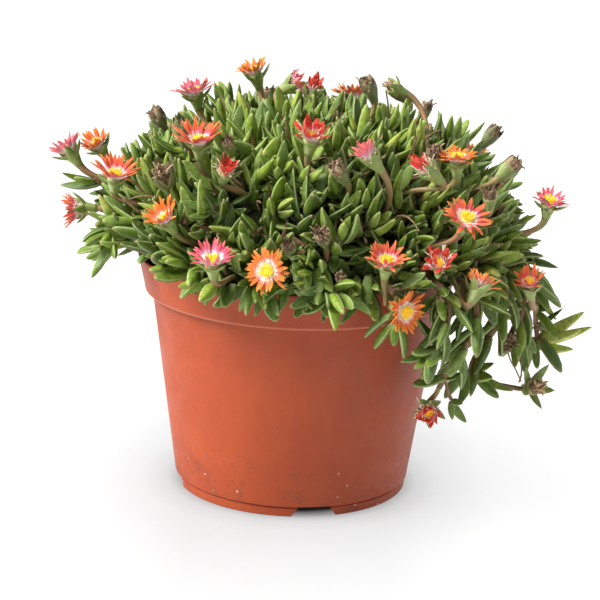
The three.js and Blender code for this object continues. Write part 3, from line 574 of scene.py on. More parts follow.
for head in (CAPSULE, TRAIL_HEAD):
    flowers.append({
        "root": Vector(head["root"]), "first_way": Vector(head["first_way"]).normalized(),
        "face": heading(*head["facing"]), "raised": SPENT_RAISED, "width": 0, "tone": "old",
        "seat": Vector(head["seat"]), "size": head["size"], "closed": head["closed"], "open": True,
    })

stalk_paths = []
kept_clear = []  # places that the leaves stay off, and by how much
for flower in flowers:
    face = flower["face"]
    bottom = flower["seat"] - face * CUP_LENGTH
    reach = (bottom - flower["root"]).length
    path = bowed(flower["root"], flower["first_way"] * reach * 0.4,
                 bottom + face * 0.6, face * reach * 0.35, 10)
    girth = flower["size"] ** 0.5
    stalk_paths.append([
        (point, girth * (1.1 + 0.2 * i / 10 + 0.6 * (i / 10) ** 4)) for i, point in enumerate(path)
    ])
    kept_clear += [(point, STALK_ROOM) for point in path[2:]]
    spread = 0.36 * flower["width"] * math.cos(math.radians(flower["raised"]))
    for step in range(4):
        kept_clear.append((flower["seat"] + face * (2.6 * step - 2), 3.4 + spread * (0.4 + 0.2 * step)))
        if flower["open"]:
            kept_clear.append((flower["seat"] + TOWARDS_CAMERA * (7 * step + 4), 3.6 + spread))
stalks = grown_tubes("flower_stalks", stalk_paths)
stalk_skin, tree, shader = new_finish("stalk_skin", 0.5)
flush = speckle(tree, 60, detail=3)
colour = mixed(tree, between(tree, flush, 0.42, 0.7),
               (0.38, 0.2, 0.1), (0.25, 0.29, 0.09))
tree.links.new(colour, shader.inputs["Base Color"])
raised(tree, shader, speckle(tree, 1200, detail=2), 0.0001, 0.6)
stalks.data.materials.append(stalk_skin)
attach(stalks, "root")


# Leaves: fleshy, narrow and pointed, flat above and keeled below, in crossed pairs along each shoot.
# Each leafy stem of the imported model is replaced by one piece that holds all of its leaves. The skin
# is grey-green to fresh green with paler edges that are partly a painted highlight, a painted highlight
# along the midline, and tiny swollen beads whose pale tops are partly painted glints.
LEAF_LENGTH = 18
LEAF_WIDTH = 5.7
LEAF_THICKNESS = 5.4
BROAD_LEAF = [  # share of the length, and of the full width and thickness there
    (0, 0.55, 0.6), (0.14, 0.76, 0.86), (0.38, 0.98, 1), (0.62, 0.98, 0.95), (0.83, 0.72, 0.72),
    (0.95, 0.36, 0.4),
]
POINTED_LEAF = [
    (0, 0.52, 0.6), (0.14, 0.75, 0.88), (0.34, 0.96, 1), (0.56, 0.88, 0.92), (0.78, 0.58, 0.64),
    (0.93, 0.26, 0.32),
]
SLENDER_LEAF = [
    (0, 0.48, 0.6), (0.12, 0.64, 0.8), (0.32, 0.8, 0.9), (0.56, 0.72, 0.84), (0.8, 0.46, 0.56),
    (0.94, 0.2, 0.26),
]


def shape_of(piece, length, finish=0):
    """The corners, faces and map of a modelled shape that stands along +Z, for making copies of it.
    In the map, u runs from edge to edge, in its left half above and in its right half below, and v
    runs along."""
    mesh = piece.data
    places = [tuple(corner.co) for corner in mesh.vertices]
    half_widths = {}
    for x, _, z in places:
        level = round(z / MM, 1)
        half_widths[level] = max(half_widths.get(level, 1e-6), abs(x))
    spots = []
    for face in mesh.polygons:
        above = face.normal.y > 0
        for i in face.vertices:
            x, _, z = places[i]
            across = 0.25 + 0.249 * x / half_widths[round(z / MM, 1)]
            spots += [across if above else across + 0.5, z / length]
    faces = [tuple(face.vertices) for face in mesh.polygons]
    bpy.data.objects.remove(piece)
    points = np.array(places)
    return {
        "points": points, "along": np.clip(points[:, 2] / length, 0, 1), "faces": faces,
        "spots": spots, "finish": finish,
    }


def fleshy_blade(length, width, thickness, outline):
    """A leaf drawn up from its root ring by ring, flattened above, pinched to a keel below."""
    blade = started(
        bpy.ops.mesh.primitive_circle_add, vertices=8, radius=width / 2 * MM, fill_type="NGON"
    )
    bpy.ops.object.mode_set(mode="EDIT")
    thinness = thickness / width
    bpy.ops.transform.resize(value=(outline[0][1], outline[0][2] * thinness * 1.15, 1))
    select_where(blade, lambda place: place.y > 1e-5)
    bpy.ops.transform.resize(value=(1, 0.3, 1), center_override=(0, 0, 0))
    select_where(blade, lambda place: place.y > 1e-5 and abs(place.x) < 1e-5)
    bpy.ops.transform.translate(value=(0, -0.08 * thickness * MM, 0))
    select_where(blade, lambda place: place.y < -1e-4)
    bpy.ops.transform.resize(value=(0.8, 1, 1), center_override=(0, 0, 0))
    bpy.ops.mesh.select_all(action="SELECT")
    for before, here in zip(outline, outline[1:]):
        drawn_up((here[0] - before[0]) * length, here[1] / before[1], here[2] / before[2])
    rise = (1 - outline[-1][0]) * length * MM
    bpy.ops.mesh.extrude_region_move(TRANSFORM_OT_translate={"value": (0, 0, rise)})
    bpy.ops.mesh.merge(type="CENTER")
    faced_outwards()
    return blade


leaf_kinds = [
    shape_of(fleshy_blade(LEAF_LENGTH, LEAF_WIDTH, LEAF_THICKNESS, outline), LEAF_LENGTH * MM)
    for outline in (BROAD_LEAF, BROAD_LEAF, POINTED_LEAF, POINTED_LEAF, SLENDER_LEAF)
]
dried_leaf = {**leaf_kinds[-1], "finish": 1}


def set_out(root, along, above, size):
    """The placing of a copy: its root, the way it grows, the way its upper side looks, and how much
    wider, thicker and longer than modelled it is."""
    along = along.normalized()
    across = above.cross(along).normalized()
    above = along.cross(across)
    turn = Matrix((across * size[0], above * size[1], along * size[2])).transposed().to_4x4()
    return Matrix.Translation(root * MM) @ turn


def joined_copies(name, copies, finishes):
    """One piece from copies of modelled shapes. A copy is (shape, placing, sway, tone): sway carries
    its tip aside, in millimetres, and tone is kept as an attribute that the finish reads."""
    points, faces, spots, tones, kinds = [], [], [], [], []
    count = 0
    for shape, placing, sway, tone in copies:
        turn = np.array(placing)
        placed = shape["points"] @ turn[:3, :3].T + turn[:3, 3]
        placed += np.outer(shape["along"] ** 2, np.array(sway) * MM)
        points.append(placed)
        faces += [tuple(i + count for i in face) for face in shape["faces"]]
        kinds += [shape["finish"]] * len(shape["faces"])
        spots += shape["spots"]
        tones += [tone] * len(placed)
        count += len(placed)
    mesh = bpy.data.meshes.new(name)
    mesh.from_pydata(np.concatenate(points).tolist(), [], faces)
    mesh.uv_layers.new(name="surface").data.foreach_set("uv", spots)
    mesh.attributes.new("tone", "FLOAT", "POINT").data.foreach_set("value", tones)
    mesh.polygons.foreach_set("material_index", kinds)
    mesh.shade_smooth()
    mesh.set_sharp_from_angle(angle=math.radians(84))
    for finish in finishes:
        mesh.materials.append(finish)
    piece = bpy.data.objects.new(name, mesh)
    bpy.context.collection.objects.link(piece)
    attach(piece, "root")
    return piece


def pot_radius(height):
    """The pot's outer radius at a height in millimetres, or nothing above its rim."""
    if height > POT_HEIGHT + 1:
        return 0
    if height > COLLAR_FOOT[1]:
        share = (height - COLLAR_FOOT[1]) / (POT_HEIGHT - COLLAR_FOOT[1])
        return COLLAR_FOOT[0] + share * (RIM_RADIUS - COLLAR_FOOT[0])
    share = (height - WALL_FOOT[1]) / (WALL_TOP[1] - WALL_FOOT[1])
    return WALL_FOOT[0] + share * (WALL_TOP[0] - WALL_FOOT[0])


POT_ROOM = 2.5


def clear_of_pot(tip):
    """How far a leaf's tip has to be carried outwards to stay off the pot."""
    out = Vector((tip.x, tip.y, 0))
    short = pot_radius(tip.z) + POT_ROOM - out.length
    return out.normalized() * short if short > 0 else Vector()


SKIRT_HEM = (101, 118)  # the lowest that a drooping leaf's tip may be in front, and on the left
THIN_BAND = 9  # over the hem, where every third leaf or so is left out
CROWN = 140  # from here up the leaves are shorter and stand wider
clear_places = np.array([tuple(place) for place, _ in kept_clear])
clear_rooms = np.array([room for _, room in kept_clear])
PAIRS = [  # up the shoot, opening, length, how much fresher
    (-1, 80, 13, -0.26), (0, 60, 17, -0.14), (4, 44, 18.5, -0.05), (8, 27, 17.5, 0.05),
    (11.4, 13, 12.5, 0.2),
]
leaves = [[] for _ in clumps]


def free_of_flowers(root, tip):
    """Whether a leaf from root to tip leaves the blooms and their stalks room."""
    places = np.array(root) + np.linspace(0.25, 1, 4)[:, None] * np.array(tip - root)
    return (np.linalg.norm(places[:, None] - clear_places, axis=2) > clear_rooms).all()


def add_leaf(clump, node, spoke, axis, opening, length, lift, tone, hanging=False):
    """A leaf at a node of a shoot: spoke is the side it stands on, opening its angle to the shoot.
    One that would droop under the hem of the mound is left out, unless it hangs there."""
    angle = math.radians(opening)
    along = axis * math.cos(angle) + spoke * math.sin(angle)
    above = axis * math.sin(angle) - spoke * math.cos(angle)
    size = length / LEAF_LENGTH
    girth = size ** 0.5 * chance.uniform(0.86, 1.14)
    sway = above * length * chance.uniform(-0.08, 0.26) + UP * length * lift + stray(length * 0.07)
    root = node + spoke * 1.1 * size
    tip = root + along * length + sway
    hem = SKIRT_HEM[0] - 0.1 * tip.x + 0.25 * max(0, -40 - tip.x)
    if (tip.z < min(hem, SKIRT_HEM[1]) and not hanging) or not free_of_flowers(root, tip):
        return
    if tip.z < hem + THIN_BAND and not hanging and chance.random() < 0.35:
        return
    sway += clear_of_pot(tip)
    placing = set_out(root, along, (above + stray(0.3)).normalized(), (girth, girth, size))
    kinds = leaf_kinds[1:] if root.z > CROWN + 6 else leaf_kinds
    leaves[clump].append((chance.choice(kinds), placing, sway, tone))


for shoot in shoots:
    axis = shoot["axis"]
    spoke = axis.cross(stray(1)).normalized()
    vigour = chance.uniform(0.86, 1.12)
    tone = min(0.68, chance.gauss(0.48, 0.2)) - 0.08 * (shoot["low"] > 0.02)
    lift = 0.13 if shoot["low"] < 0.02 else -0.05
    high = shoot["root"].z > CROWN
    for i, (rise, opening, length, fresh) in enumerate(PAIRS):
        node = shoot["root"] + axis * rise * vigour
        side = turned(spoke, axis, 90 * i + chance.uniform(-14, 14))
        for way in (side, -side):
            add_leaf(
                shoot["clump"], node, way, axis, opening + 9 * high + chance.uniform(-12, 12),
                length * vigour * (1 - 0.12 * high) * chance.uniform(0.8, 1.16), lift,
                tone + fresh + chance.gauss(0, 0.06),
            )
    for _ in range(2):
        out = (spoke + stray(1.2)).normalized()
        node = shoot["root"] + axis * chance.uniform(1, 9) + out * 1.5
        size = (0.5, 0.4, chance.uniform(0.45, 0.7))
        placing = set_out(node, (out + axis * 0.6 + UP * 0.2).normalized(), axis, size)
        dead = (dried_leaf, placing, stray(3.5), chance.uniform(0, 1))
        if node.z > SKIRT_HEM[1] + 8:
            leaves[shoot["clump"]].append(dead)

# Trailing stems: long shoots, tan where they are old, that leave the mound over the rim, most of them
# on the right, and hang with a pair of leaves at every joint. Their leaves belong to the same pieces.
TRAILS = [  # the route of each, in millimetres
    [(72, -43, 118), (81, -57, 111), (79, -63, 97), (72, -62, 84), (68, -59, 73), (65, -57, 65)],
    [(79, -32, 118), (92, -43, 110), (91, -47, 95), (83, -45, 80), (80, -42, 69), (85, -36, 63),
     (94, -30, 59), (104, -25, 56)],
    [(66, -51, 118), (77, -67, 111), (78, -72, 97), (74, -70, 88)],
    [(83, -19, 118), (102, -24, 110), (103, -28, 95), (98, -32, 84)],
    [(89, 4, 118), (106, 4, 109), (111, 1, 94), (113, 0, 80), (114, 0, 72)],
    [(57, -58, 118), (66, -76, 110), (64, -80, 98), (61, -78, 89)],
    [(36, -66, 118), (43, -81, 111), (43, -83, 101)],
    [(-70, -22, 126), (-81, -28, 127), (-85, -35, 124)],
    [(-72, 6, 130), (-88, 3, 139), (-96, 0, 142)],
    [(-68, -24, 122), (-82, -26, 121), (-88, -24, 115)],
]
TRAIL_OF_CAPSULE = 1
BARE_BELOW = 64  # that trail has no leaves below here
JOINT_SPACING = 6.6


def along_route(route):
    """Points a millimetre or so apart on a smooth curve through a route's points."""
    knots = [Vector(point) for point in route]
    knots = [knots[0] * 2 - knots[1], *knots, knots[-1] * 2 - knots[-2]]
    points = []
    for a, b, c, d in zip(knots, knots[1:], knots[2:], knots[3:]):
        steps = max(2, round((c - b).length))
        for i in range(steps):
            t = i / steps
            points.append(0.5 * (
                b * 2 + (c - a) * t + (a * 2 - b * 5 + c * 4 - d) * t ** 2
                + (b * 3 - a - c * 3 + d) * t ** 3
            ))
    return points + [knots[-2]]


trail_paths = []
for route in TRAILS:
    points = along_route(route)
    from_centre = points[0] - MOUND_CENTRE
    way = Vector(from_centre[i] / CORE_RADII[i] for i in range(3)).normalized()
    clump = clump_of(way)
    outward = points[len(points) // 2] - MOUND_CENTRE
    sideways = Vector((-outward.y, outward.x, 0)).normalized()
    trail_paths.append([
        (point, 1.7 - 1.2 * i / len(points)) for i, point in enumerate(points[::3] + points[-1:])
    ])
    walked = 0
    joint = 0
    for before, here in zip(points, points[1:]):
        walked += (here - before).length
        if walked < 4 + JOINT_SPACING * joint:
            continue
        joint += 1
        axis = (here - before).normalized()
        spoke = turned((sideways - axis * sideways.dot(axis)).normalized(), axis, 45 + 90 * joint)
        bare = route is TRAILS[TRAIL_OF_CAPSULE] and here.z < BARE_BELOW
        for side in (spoke, -spoke):
            if not bare and chance.random() < 0.76:
                add_leaf(clump, here, side, axis, chance.uniform(22, 58), chance.uniform(14, 21),
                         -0.02, chance.gauss(0.38, 0.18), hanging=True)
        if joint % 4 == 2 and 0 < before.x < 98 and walked < 34:
            bend = (axis * 0.8 + spoke * chance.choice((-1, 1)) + outward.normalized() * 0.4).normalized()
            trail_paths.append([(here, 0.9), (here + bend * 5, 0.8), (here + bend * 9, 0.7)])
            for i, (rise, opening, length) in enumerate([(5, 48, 16), (8, 30, 16), (9, 14, 12)]):
                across = turned(bend.cross(UP).normalized(), bend, 90 * i + 30)
                for way in (across, -across):
                    add_leaf(clump, here + bend * rise, way, bend, opening, length,
                             0, chance.gauss(0.5, 0.16), hanging=True)
    ends = [(24, 15), (12, 10)] if route is not TRAILS[TRAIL_OF_CAPSULE] and here.x < 110 else []
    for i, (opening, length) in enumerate(ends):
        side = turned(spoke, axis, 90 * i)
        for way in (side, -side):
            add_leaf(clump, points[-1], way, axis, opening, length,
                     0.05, chance.gauss(0.6, 0.1), hanging=True)
END_LEAVES = [  # root and tip of the long leaves at the ends of the trails, how wide, how fresh; a tone past 1 is painted light on leaves that the mound shades
    ((114, 0, 73), (136, 4, 84), 1.25, 1.18), ((114, -1, 72), (134, -6, 78), 1.25, 1.2),
    ((114, 1, 71), (140, 6, 76), 1.3, 1.06), ((114, -1, 70), (131, -8, 69), 1.15, 1.25),
    ((112, 1, 78), (126, 8, 84), 0.6, 0.25), ((110, 2, 88), (119, 4, 86), 0.7, 0.2),
    ((80, -42, 69), (91, -37, 71), 0.9, 0.6), ((80, -42, 67), (89, -50, 68), 1.1, 0.72),
    ((80, -42, 67), (76, -40, 50), 1.0, 0.4), ((82, -40, 66), (101, -35, 56), 0.85, 0.6),
    ((61, -78, 89), (45, -82, 83), 0.9, 0.5), ((61, -78, 90), (50, -87, 88), 0.95, 0.62),
    ((61, -78, 88), (51, -87, 81), 0.95, 0.66), ((62, -79, 88), (57, -90, 84), 1.0, 0.58),
    ((67, -59, 71), (52, -62, 66), 1.0, 0.5), ((67, -59, 70), (73, -57, 71), 0.7, 0.4),
    ((71, -50, 56), (79, -45, 44), 0.8, 0.4), ((71, -50, 56), (72, -51, 47), 0.7, 0.5),
    ((71, -50, 57), (77, -50, 55), 0.7, 0.45), ((70, -66, 87), (75, -66, 72), 0.9, 0.42),
    ((99, -24, 91), (111, -22, 70), 1.05, 0.4), ((104, -18, 80), (108, -16, 57), 0.8, 0.45),
    ((113, -2, 72), (114, -4, 58), 0.7, 0.5), ((66, -66, 86), (51, -78, 101), 1.1, 0.34),
    ((79, -64, 108), (77, -74, 94), 1.1, 0.36), ((90, -46, 104), (91, -54, 90), 1.1, 0.4),
    ((-15, -78, 113), (-8, -86, 99), 1.05, 0.4), ((-5, -79, 116), (-7, -86, 104), 0.9, 0.36),
    ((-19, -77, 116), (-25, -85, 103), 1.0, 0.42), ((30, -78, 121), (30, -85, 108), 0.9, 0.44),
    ((26, -78, 119), (14, -86, 106), 1.0, 0.4), ((-42, -67, 118), (-50, -77, 106), 1.15, 0.5),
    ((-48, -64, 116), (-62, -74, 114), 1.15, 0.46), ((0, -82, 125), (4, -91, 116), 1.35, 0.62),
    ((9, -82, 125), (14, -90, 115), 1.4, 0.66), ((6, -82, 123), (10, -90, 114), 1.2, 0.5),
    ((13, -80, 112), (2, -86, 105), 1.3, 0.32), ((13, -80, 113), (13, -86, 102), 1.2, 0.36),
    ((-28, -74, 114), (-32, -83, 104), 1.05, 0.4), ((-36, -70, 116), (-40, -79, 104), 1.0, 0.36),
    ((-83, -36, 122), (-91, -43, 109), 1.1, 0.5),
]
for root, tip, width, tone in END_LEAVES:
    root = Vector(root)
    tip = Vector(tip)
    along = tip - root
    size = (width, width, along.length / LEAF_LENGTH)
    placing = set_out(root, along, Vector((-0.25, -0.6, 0.7)), size)
    leaves[clump_of((root - MOUND_CENTRE).normalized())].append(
        (chance.choice(leaf_kinds[1:]), placing, UP * along.length * 0.1 + stray(0.8), tone)
    )
BARE_TWIGS = [  # dry side stems with no leaves left, and how thick
    ([(67, -59, 71), (69, -55, 63), (71, -51, 58)], 0.9),
    ([(98, -33, 88), (102, -33, 78), (104, -32, 66), (103, -31, 60)], 0.4),
    ([(98, -33, 86), (97, -36, 76), (101, -35, 68), (104, -33, 62)], 0.36),
    ([(104, -24, 92), (101, -30, 100), (96, -34, 106)], 0.5),
]
for route, radius in BARE_TWIGS:
    trail_paths.append([(point, radius) for point in along_route(route)[::2]])
trails = grown_tubes("trailing_stems", trail_paths)
trails.data.materials.append(bark)
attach(trails, "root")


def surface_map(tree):
    """The map that shape_of laid out."""
    spots = tree.nodes.new("ShaderNodeUVMap")
    spots.uv_map = "surface"
    return spots.outputs["UV"]


def part_left(tree, value, factor):
    """What is left of value times factor after its whole number is taken off."""
    return worked_out(tree, "FRACT", worked_out(tree, "MULTIPLY", value, factor), 0)


def map_halves(tree):
    """From the map: how far out across, 0 on the midline to 1 at the edge; how far along; and 1 below."""
    split = tree.nodes.new("ShaderNodeSeparateXYZ")
    tree.links.new(surface_map(tree), split.inputs["Vector"])
    within = part_left(tree, split.outputs["X"], 2)
    off_middle = worked_out(tree, "ABSOLUTE", worked_out(tree, "SUBTRACT", within, 0.5), 0)
    across = worked_out(tree, "MULTIPLY", off_middle, 2)
    return across, split.outputs["Y"], worked_out(tree, "GREATER_THAN", split.outputs["X"], 0.5)


def tone_of(tree):
    """The tone that each copy was given."""
    tone = tree.nodes.new("ShaderNodeAttribute")
    tone.attribute_name = "tone"
    return tone.outputs["Fac"]


def shade_of(tree, pattern, swing):
    """The tone, with a pattern that lifts and lowers it."""
    return worked_out(tree, "ADD", tone_of(tree), between(tree, pattern, 0.3, 0.7, -swing, swing))


def colour_run(tree, value, stops):
    """A run of colours along a value. A stop is (place, (r, g, b))."""
    run = tree.nodes.new("ShaderNodeValToRGB")
    while len(run.color_ramp.elements) < len(stops):
        run.color_ramp.elements.new(1)
    for element, (place, colour) in zip(run.color_ramp.elements, stops):
        element.position = place
        element.color = (*colour, 1)
    tree.links.new(value, run.inputs["Fac"])
    return run.outputs["Color"]


def fleshy_skin(name, stops):
    """The finish of leaves and cups: a run of greens by tone, with pale edges that are partly a painted
    highlight, a painted highlight along the midline and keel, and fine beads whose pale tops are partly
    painted glints.
    """
    skin, tree, shader = new_finish(name, 0.46)
    shader.inputs["Specular IOR Level"].default_value = 0.34
    across, along, _ = map_halves(tree)
    shade = shade_of(tree, speckle(tree, 330, detail=4, roughness=0.65), 0.2)
    colour = colour_run(tree, between(tree, shade, 0, 1.25), stops)
    own = part_left(tree, tone_of(tree), 41.7)  # as good as random from leaf to leaf
    colour = mixed(tree, between(tree, own, 0.45, 1.0, 0, 0.6), colour, (0.13, 0.21, 0.068))
    # Painted highlight: a pale stripe along the midline, above and along the keel below.
    midline = between(tree, across, 0.0, 0.25, 0.12, 0)
    colour = mixed(tree, midline, colour, (0.3, 0.4, 0.14))
    # Pale edges: partly the leaf's own paler margin, partly a painted highlight where the rim catches the
    # light.
    edge = between(tree, across, 0.82, 0.97, 0, 0.7)
    colour = mixed(tree, edge, colour, (0.5, 0.56, 0.25))
    colour = mixed(tree, between(tree, along, 0.9, 1.0, 0, 0.6), colour, (0.5, 0.42, 0.2))
    colour = mixed(tree, between(tree, along, 0.0, 0.25, 0.5, 0), colour, (0.34, 0.38, 0.15))
    beads = patterned(tree, "ShaderNodeTexVoronoi", 1300)
    bead = between(tree, beads.outputs["Distance"], 0.0, 0.5, 1, 0)
    # The beads' pale tops: partly their own colour, partly painted glints.
    colour = mixed(tree, worked_out(tree, "MULTIPLY", bead, 0.24), colour, (0.43, 0.51, 0.22))
    tree.links.new(colour, shader.inputs["Base Color"])
    shader.inputs["Subsurface Weight"].default_value = 0.12
    shader.inputs["Subsurface Radius"].default_value = (0.4, 1.0, 0.2)
    shader.inputs["Subsurface Scale"].default_value = 0.0015
    raised(tree, shader, bead, 0.00015, 0.6)
    return skin


# The palest stop, reached only by tones past 1, is painted light: it lifts the long leaves at the
# right-hand trail ends, which lie in the mound's shade.
leaf_skin = fleshy_skin("leaf_skin", [
    (0.0, (0.036, 0.068, 0.005)), (0.24, (0.076, 0.138, 0.009)), (0.44, (0.15, 0.238, 0.02)),
    (0.64, (0.27, 0.37, 0.042)), (0.8, (0.46, 0.5, 0.085)), (1.0, (0.72, 0.85, 0.2)),
])


def dried(name, scale, swing, brightest, stops, depth):
    """The finish of dead leaves and petals: a run of browns by tone, wrinkled all over."""
    finish, tree, shader = new_finish(name, 0.85)
    wrinkles = speckle(tree, scale, detail=4)
    shade = shade_of(tree, wrinkles, swing)
    colour = colour_run(tree, between(tree, shade, 0, brightest), stops)
    tree.links.new(colour, shader.inputs["Base Color"])
    raised(tree, shader, wrinkles, depth, 0.9)
    return finish


husk = dried("dried_leaf", 800, 0.25, 1, [
    (0.0, (0.07, 0.035, 0.018)), (0.5, (0.24, 0.13, 0.06)), (1.0, (0.5, 0.36, 0.18)),
], 0.0004)
for number, copies in enumerate(leaves, 1):
    piece = joined_copies(f"leaves_{number:02d}", copies, [leaf_skin, husk])
    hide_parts(f"leafy_stem_{number:02d}")


# Cups: under each bloom the stalk swells into a green cup with five pointed lobes, which open with the
# petals and close again when the bloom is over.
LOBE_LENGTH = 7.2
RIPE = 1.12  # heads over this size have long green lobes and little left of the petals
CUP_RADIUS = 1.9  # at the stalk
CUP_RINGS = [(1.6, 1.15), (1.7, 1.25), (1.8, 1.22), (1.9, 1.08), (0.6, 0.9)]  # rise, how much wider
SHUT = 40  # lobes raised further than this have closed over what is left of the bloom
cup_body = started(
    bpy.ops.mesh.primitive_circle_add, vertices=15, radius=CUP_RADIUS * MM, fill_type="NGON"
)
bpy.ops.object.mode_set(mode="EDIT")
for rise, widening in CUP_RINGS:
    drawn_up(rise, widening)
faced_outwards()
cup = shape_of(cup_body, CUP_LENGTH * MM)
lobe = shape_of(
    fleshy_blade(LOBE_LENGTH, 4.2, 1.9, [(0, 1, 1), (0.25, 0.98, 1), (0.5, 0.8, 0.9), (0.75, 0.5, 0.6)]),
    LOBE_LENGTH * MM,
)



def opened(radial, face, degrees):
    """The way of a lobe or petal raised that far from radial towards face, and of its upper side."""
    angle = math.radians(degrees)
    return (
        radial * math.cos(angle) + face * math.sin(angle),
        face * math.cos(angle) - radial * math.sin(angle),
    )


cups = []
for flower in flowers:
    face, size = flower["face"], flower["size"]
    bottom = flower["seat"] - face * CUP_LENGTH
    across = face.cross(Vector((0.3, 0.2, 0.9))).normalized()
    over = flower["tone"] in ("spent", "old")
    green = {"spent": chance.uniform(0, 0.4), "old": chance.uniform(0.25, 0.75)}
    tone = green.get(flower["tone"], 0.85) if flower["closed"] > SHUT else 0.85
    cups.append((cup, set_out(bottom, face, across, (size, size, 1)), Vector(), tone))
    for k in range(5):
        radial = turned(across, face, 72 * k + 36)
        along, above = opened(radial, face, flower["closed"])
        length = chance.uniform(0.85, 1.25) * size * (1.1 if size > RIPE else 0.72 if over else 1)
        root = flower["seat"] + radial * 2.3 * size - face * 1.4
        placing = set_out(root, along, above, (size, size, length))
        cups.append((lobe, placing, above * (2.2 * size if over else 0.9) + stray(0.5), tone - 0.1))
cup_skin = fleshy_skin("cup_skin", [
    (0.0, (0.12, 0.1, 0.05)), (0.32, (0.2, 0.18, 0.07)), (0.56, (0.2, 0.29, 0.07)),
    (0.8, (0.36, 0.42, 0.13)),
])
cup_piece = joined_copies("flower_cups", cups, [cup_skin])


# Blooms: each has two rings of narrow silky petals, white at the root, pink next, then orange or
# coral, round a boss of yellow stamens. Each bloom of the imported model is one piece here.
PETAL_LENGTH = 10
PETAL_OUTLINE = [0.5, 0.62, 0.8, 0.96, 0.98, 0.72, 0.18]  # shares of the width, evenly spaced
PETAL_WIDTH = 1.85
PETAL_FOLD = 0.22
PETAL_THICKNESS = 0.28
BOSS_RADIUS = 2.6
STAMEN_LENGTH = 3.7
STAMEN_STALK = 2.6


def silky_petal(curl):
    """A thin strap, narrow at the root and the tip, with a fold along its middle. It curls by that
    many millimetres at the tip."""
    rows = len(PETAL_OUTLINE) - 1
    petal = started(
        bpy.ops.mesh.primitive_grid_add,
        x_subdivisions=2, y_subdivisions=rows, size=1, rotation=(math.pi / 2, 0, 0),
    )
    bpy.ops.object.transform_apply(rotation=True)
    bpy.ops.object.mode_set(mode="EDIT")
    bpy.ops.mesh.select_all(action="SELECT")
    bpy.ops.transform.translate(value=(0, 0, 0.5))
    bpy.ops.transform.resize(
        value=(PETAL_WIDTH * MM, 1, PETAL_LENGTH * MM), center_override=(0, 0, 0)
    )
    for row, share in enumerate(PETAL_OUTLINE):
        level = row / rows * PETAL_LENGTH * MM
        select_where(petal, lambda place: abs(place.z - level) < 1e-4)
        bpy.ops.transform.resize(value=(share, 1, 1), center_override=(0, 0, level))
        bpy.ops.transform.translate(value=(0, curl * (row / rows) ** 2 * MM, 0))
    select_where(petal, lambda place: abs(place.x) < 1e-5)
    bpy.ops.transform.translate(value=(0, -PETAL_FOLD * MM, 0))
    bpy.ops.object.mode_set(mode="OBJECT")
    wall = petal.modifiers.new("wall", "SOLIDIFY")
    wall.thickness = PETAL_THICKNESS * MM
    wall.offset = 0
    bpy.ops.object.modifier_apply(modifier=wall.name)
    bpy.ops.object.mode_set(mode="EDIT")
    faced_outwards()
    return shape_of(petal, PETAL_LENGTH * MM)


petals = [silky_petal(curl) for curl in (-1.1, -0.3, 0.6)]

stamen_body = started(
    bpy.ops.mesh.primitive_cone_add, vertices=5, radius1=0.2 * MM, radius2=0.15 * MM,
    depth=STAMEN_STALK * MM, location=(0, 0, STAMEN_STALK / 2 * MM),
)
bpy.ops.object.transform_apply(location=True)
bpy.ops.object.mode_set(mode="EDIT")
select_where(stamen_body, lambda place: place.z > 2 * MM)
for rise, widening in [(0.15, 2.2), (0.7, 0.9), (0.25, 0.4)]:
    drawn_up(rise, widening)
bpy.ops.object.mode_set(mode="OBJECT")
stamen = shape_of(stamen_body, STAMEN_LENGTH * MM, finish=1)

mound = started(bpy.ops.mesh.primitive_uv_sphere_add, segments=12, ring_count=6, radius=1)
bpy.ops.object.mode_set(mode="EDIT")
bpy.ops.transform.resize(value=(BOSS_RADIUS * MM, BOSS_RADIUS * MM, BOSS_RADIUS / 2 * MM))
bpy.ops.object.mode_set(mode="OBJECT")
boss = shape_of(mound, BOSS_RADIUS / 2 * MM, finish=1)

PETAL_TONES = {  # how far the pale root reaches; the ring round it, the middle, the tip, the outside
    "orange": (0.34, (0.92, 0.27, 0.16), (0.92, 0.2, 0.028), (0.94, 0.34, 0.06), (0.9, 0.23, 0.15)),
    "coral": (0.34, (0.9, 0.15, 0.19), (0.9, 0.15, 0.055), (0.92, 0.28, 0.09), (0.86, 0.13, 0.19)),
    "pink": (0.42, (0.93, 0.24, 0.42), (0.88, 0.11, 0.17), (0.92, 0.25, 0.2), (0.9, 0.3, 0.4)),
    "red": (0.4, (0.86, 0.16, 0.18), (0.68, 0.035, 0.028), (0.78, 0.1, 0.05), (0.66, 0.06, 0.07)),
}


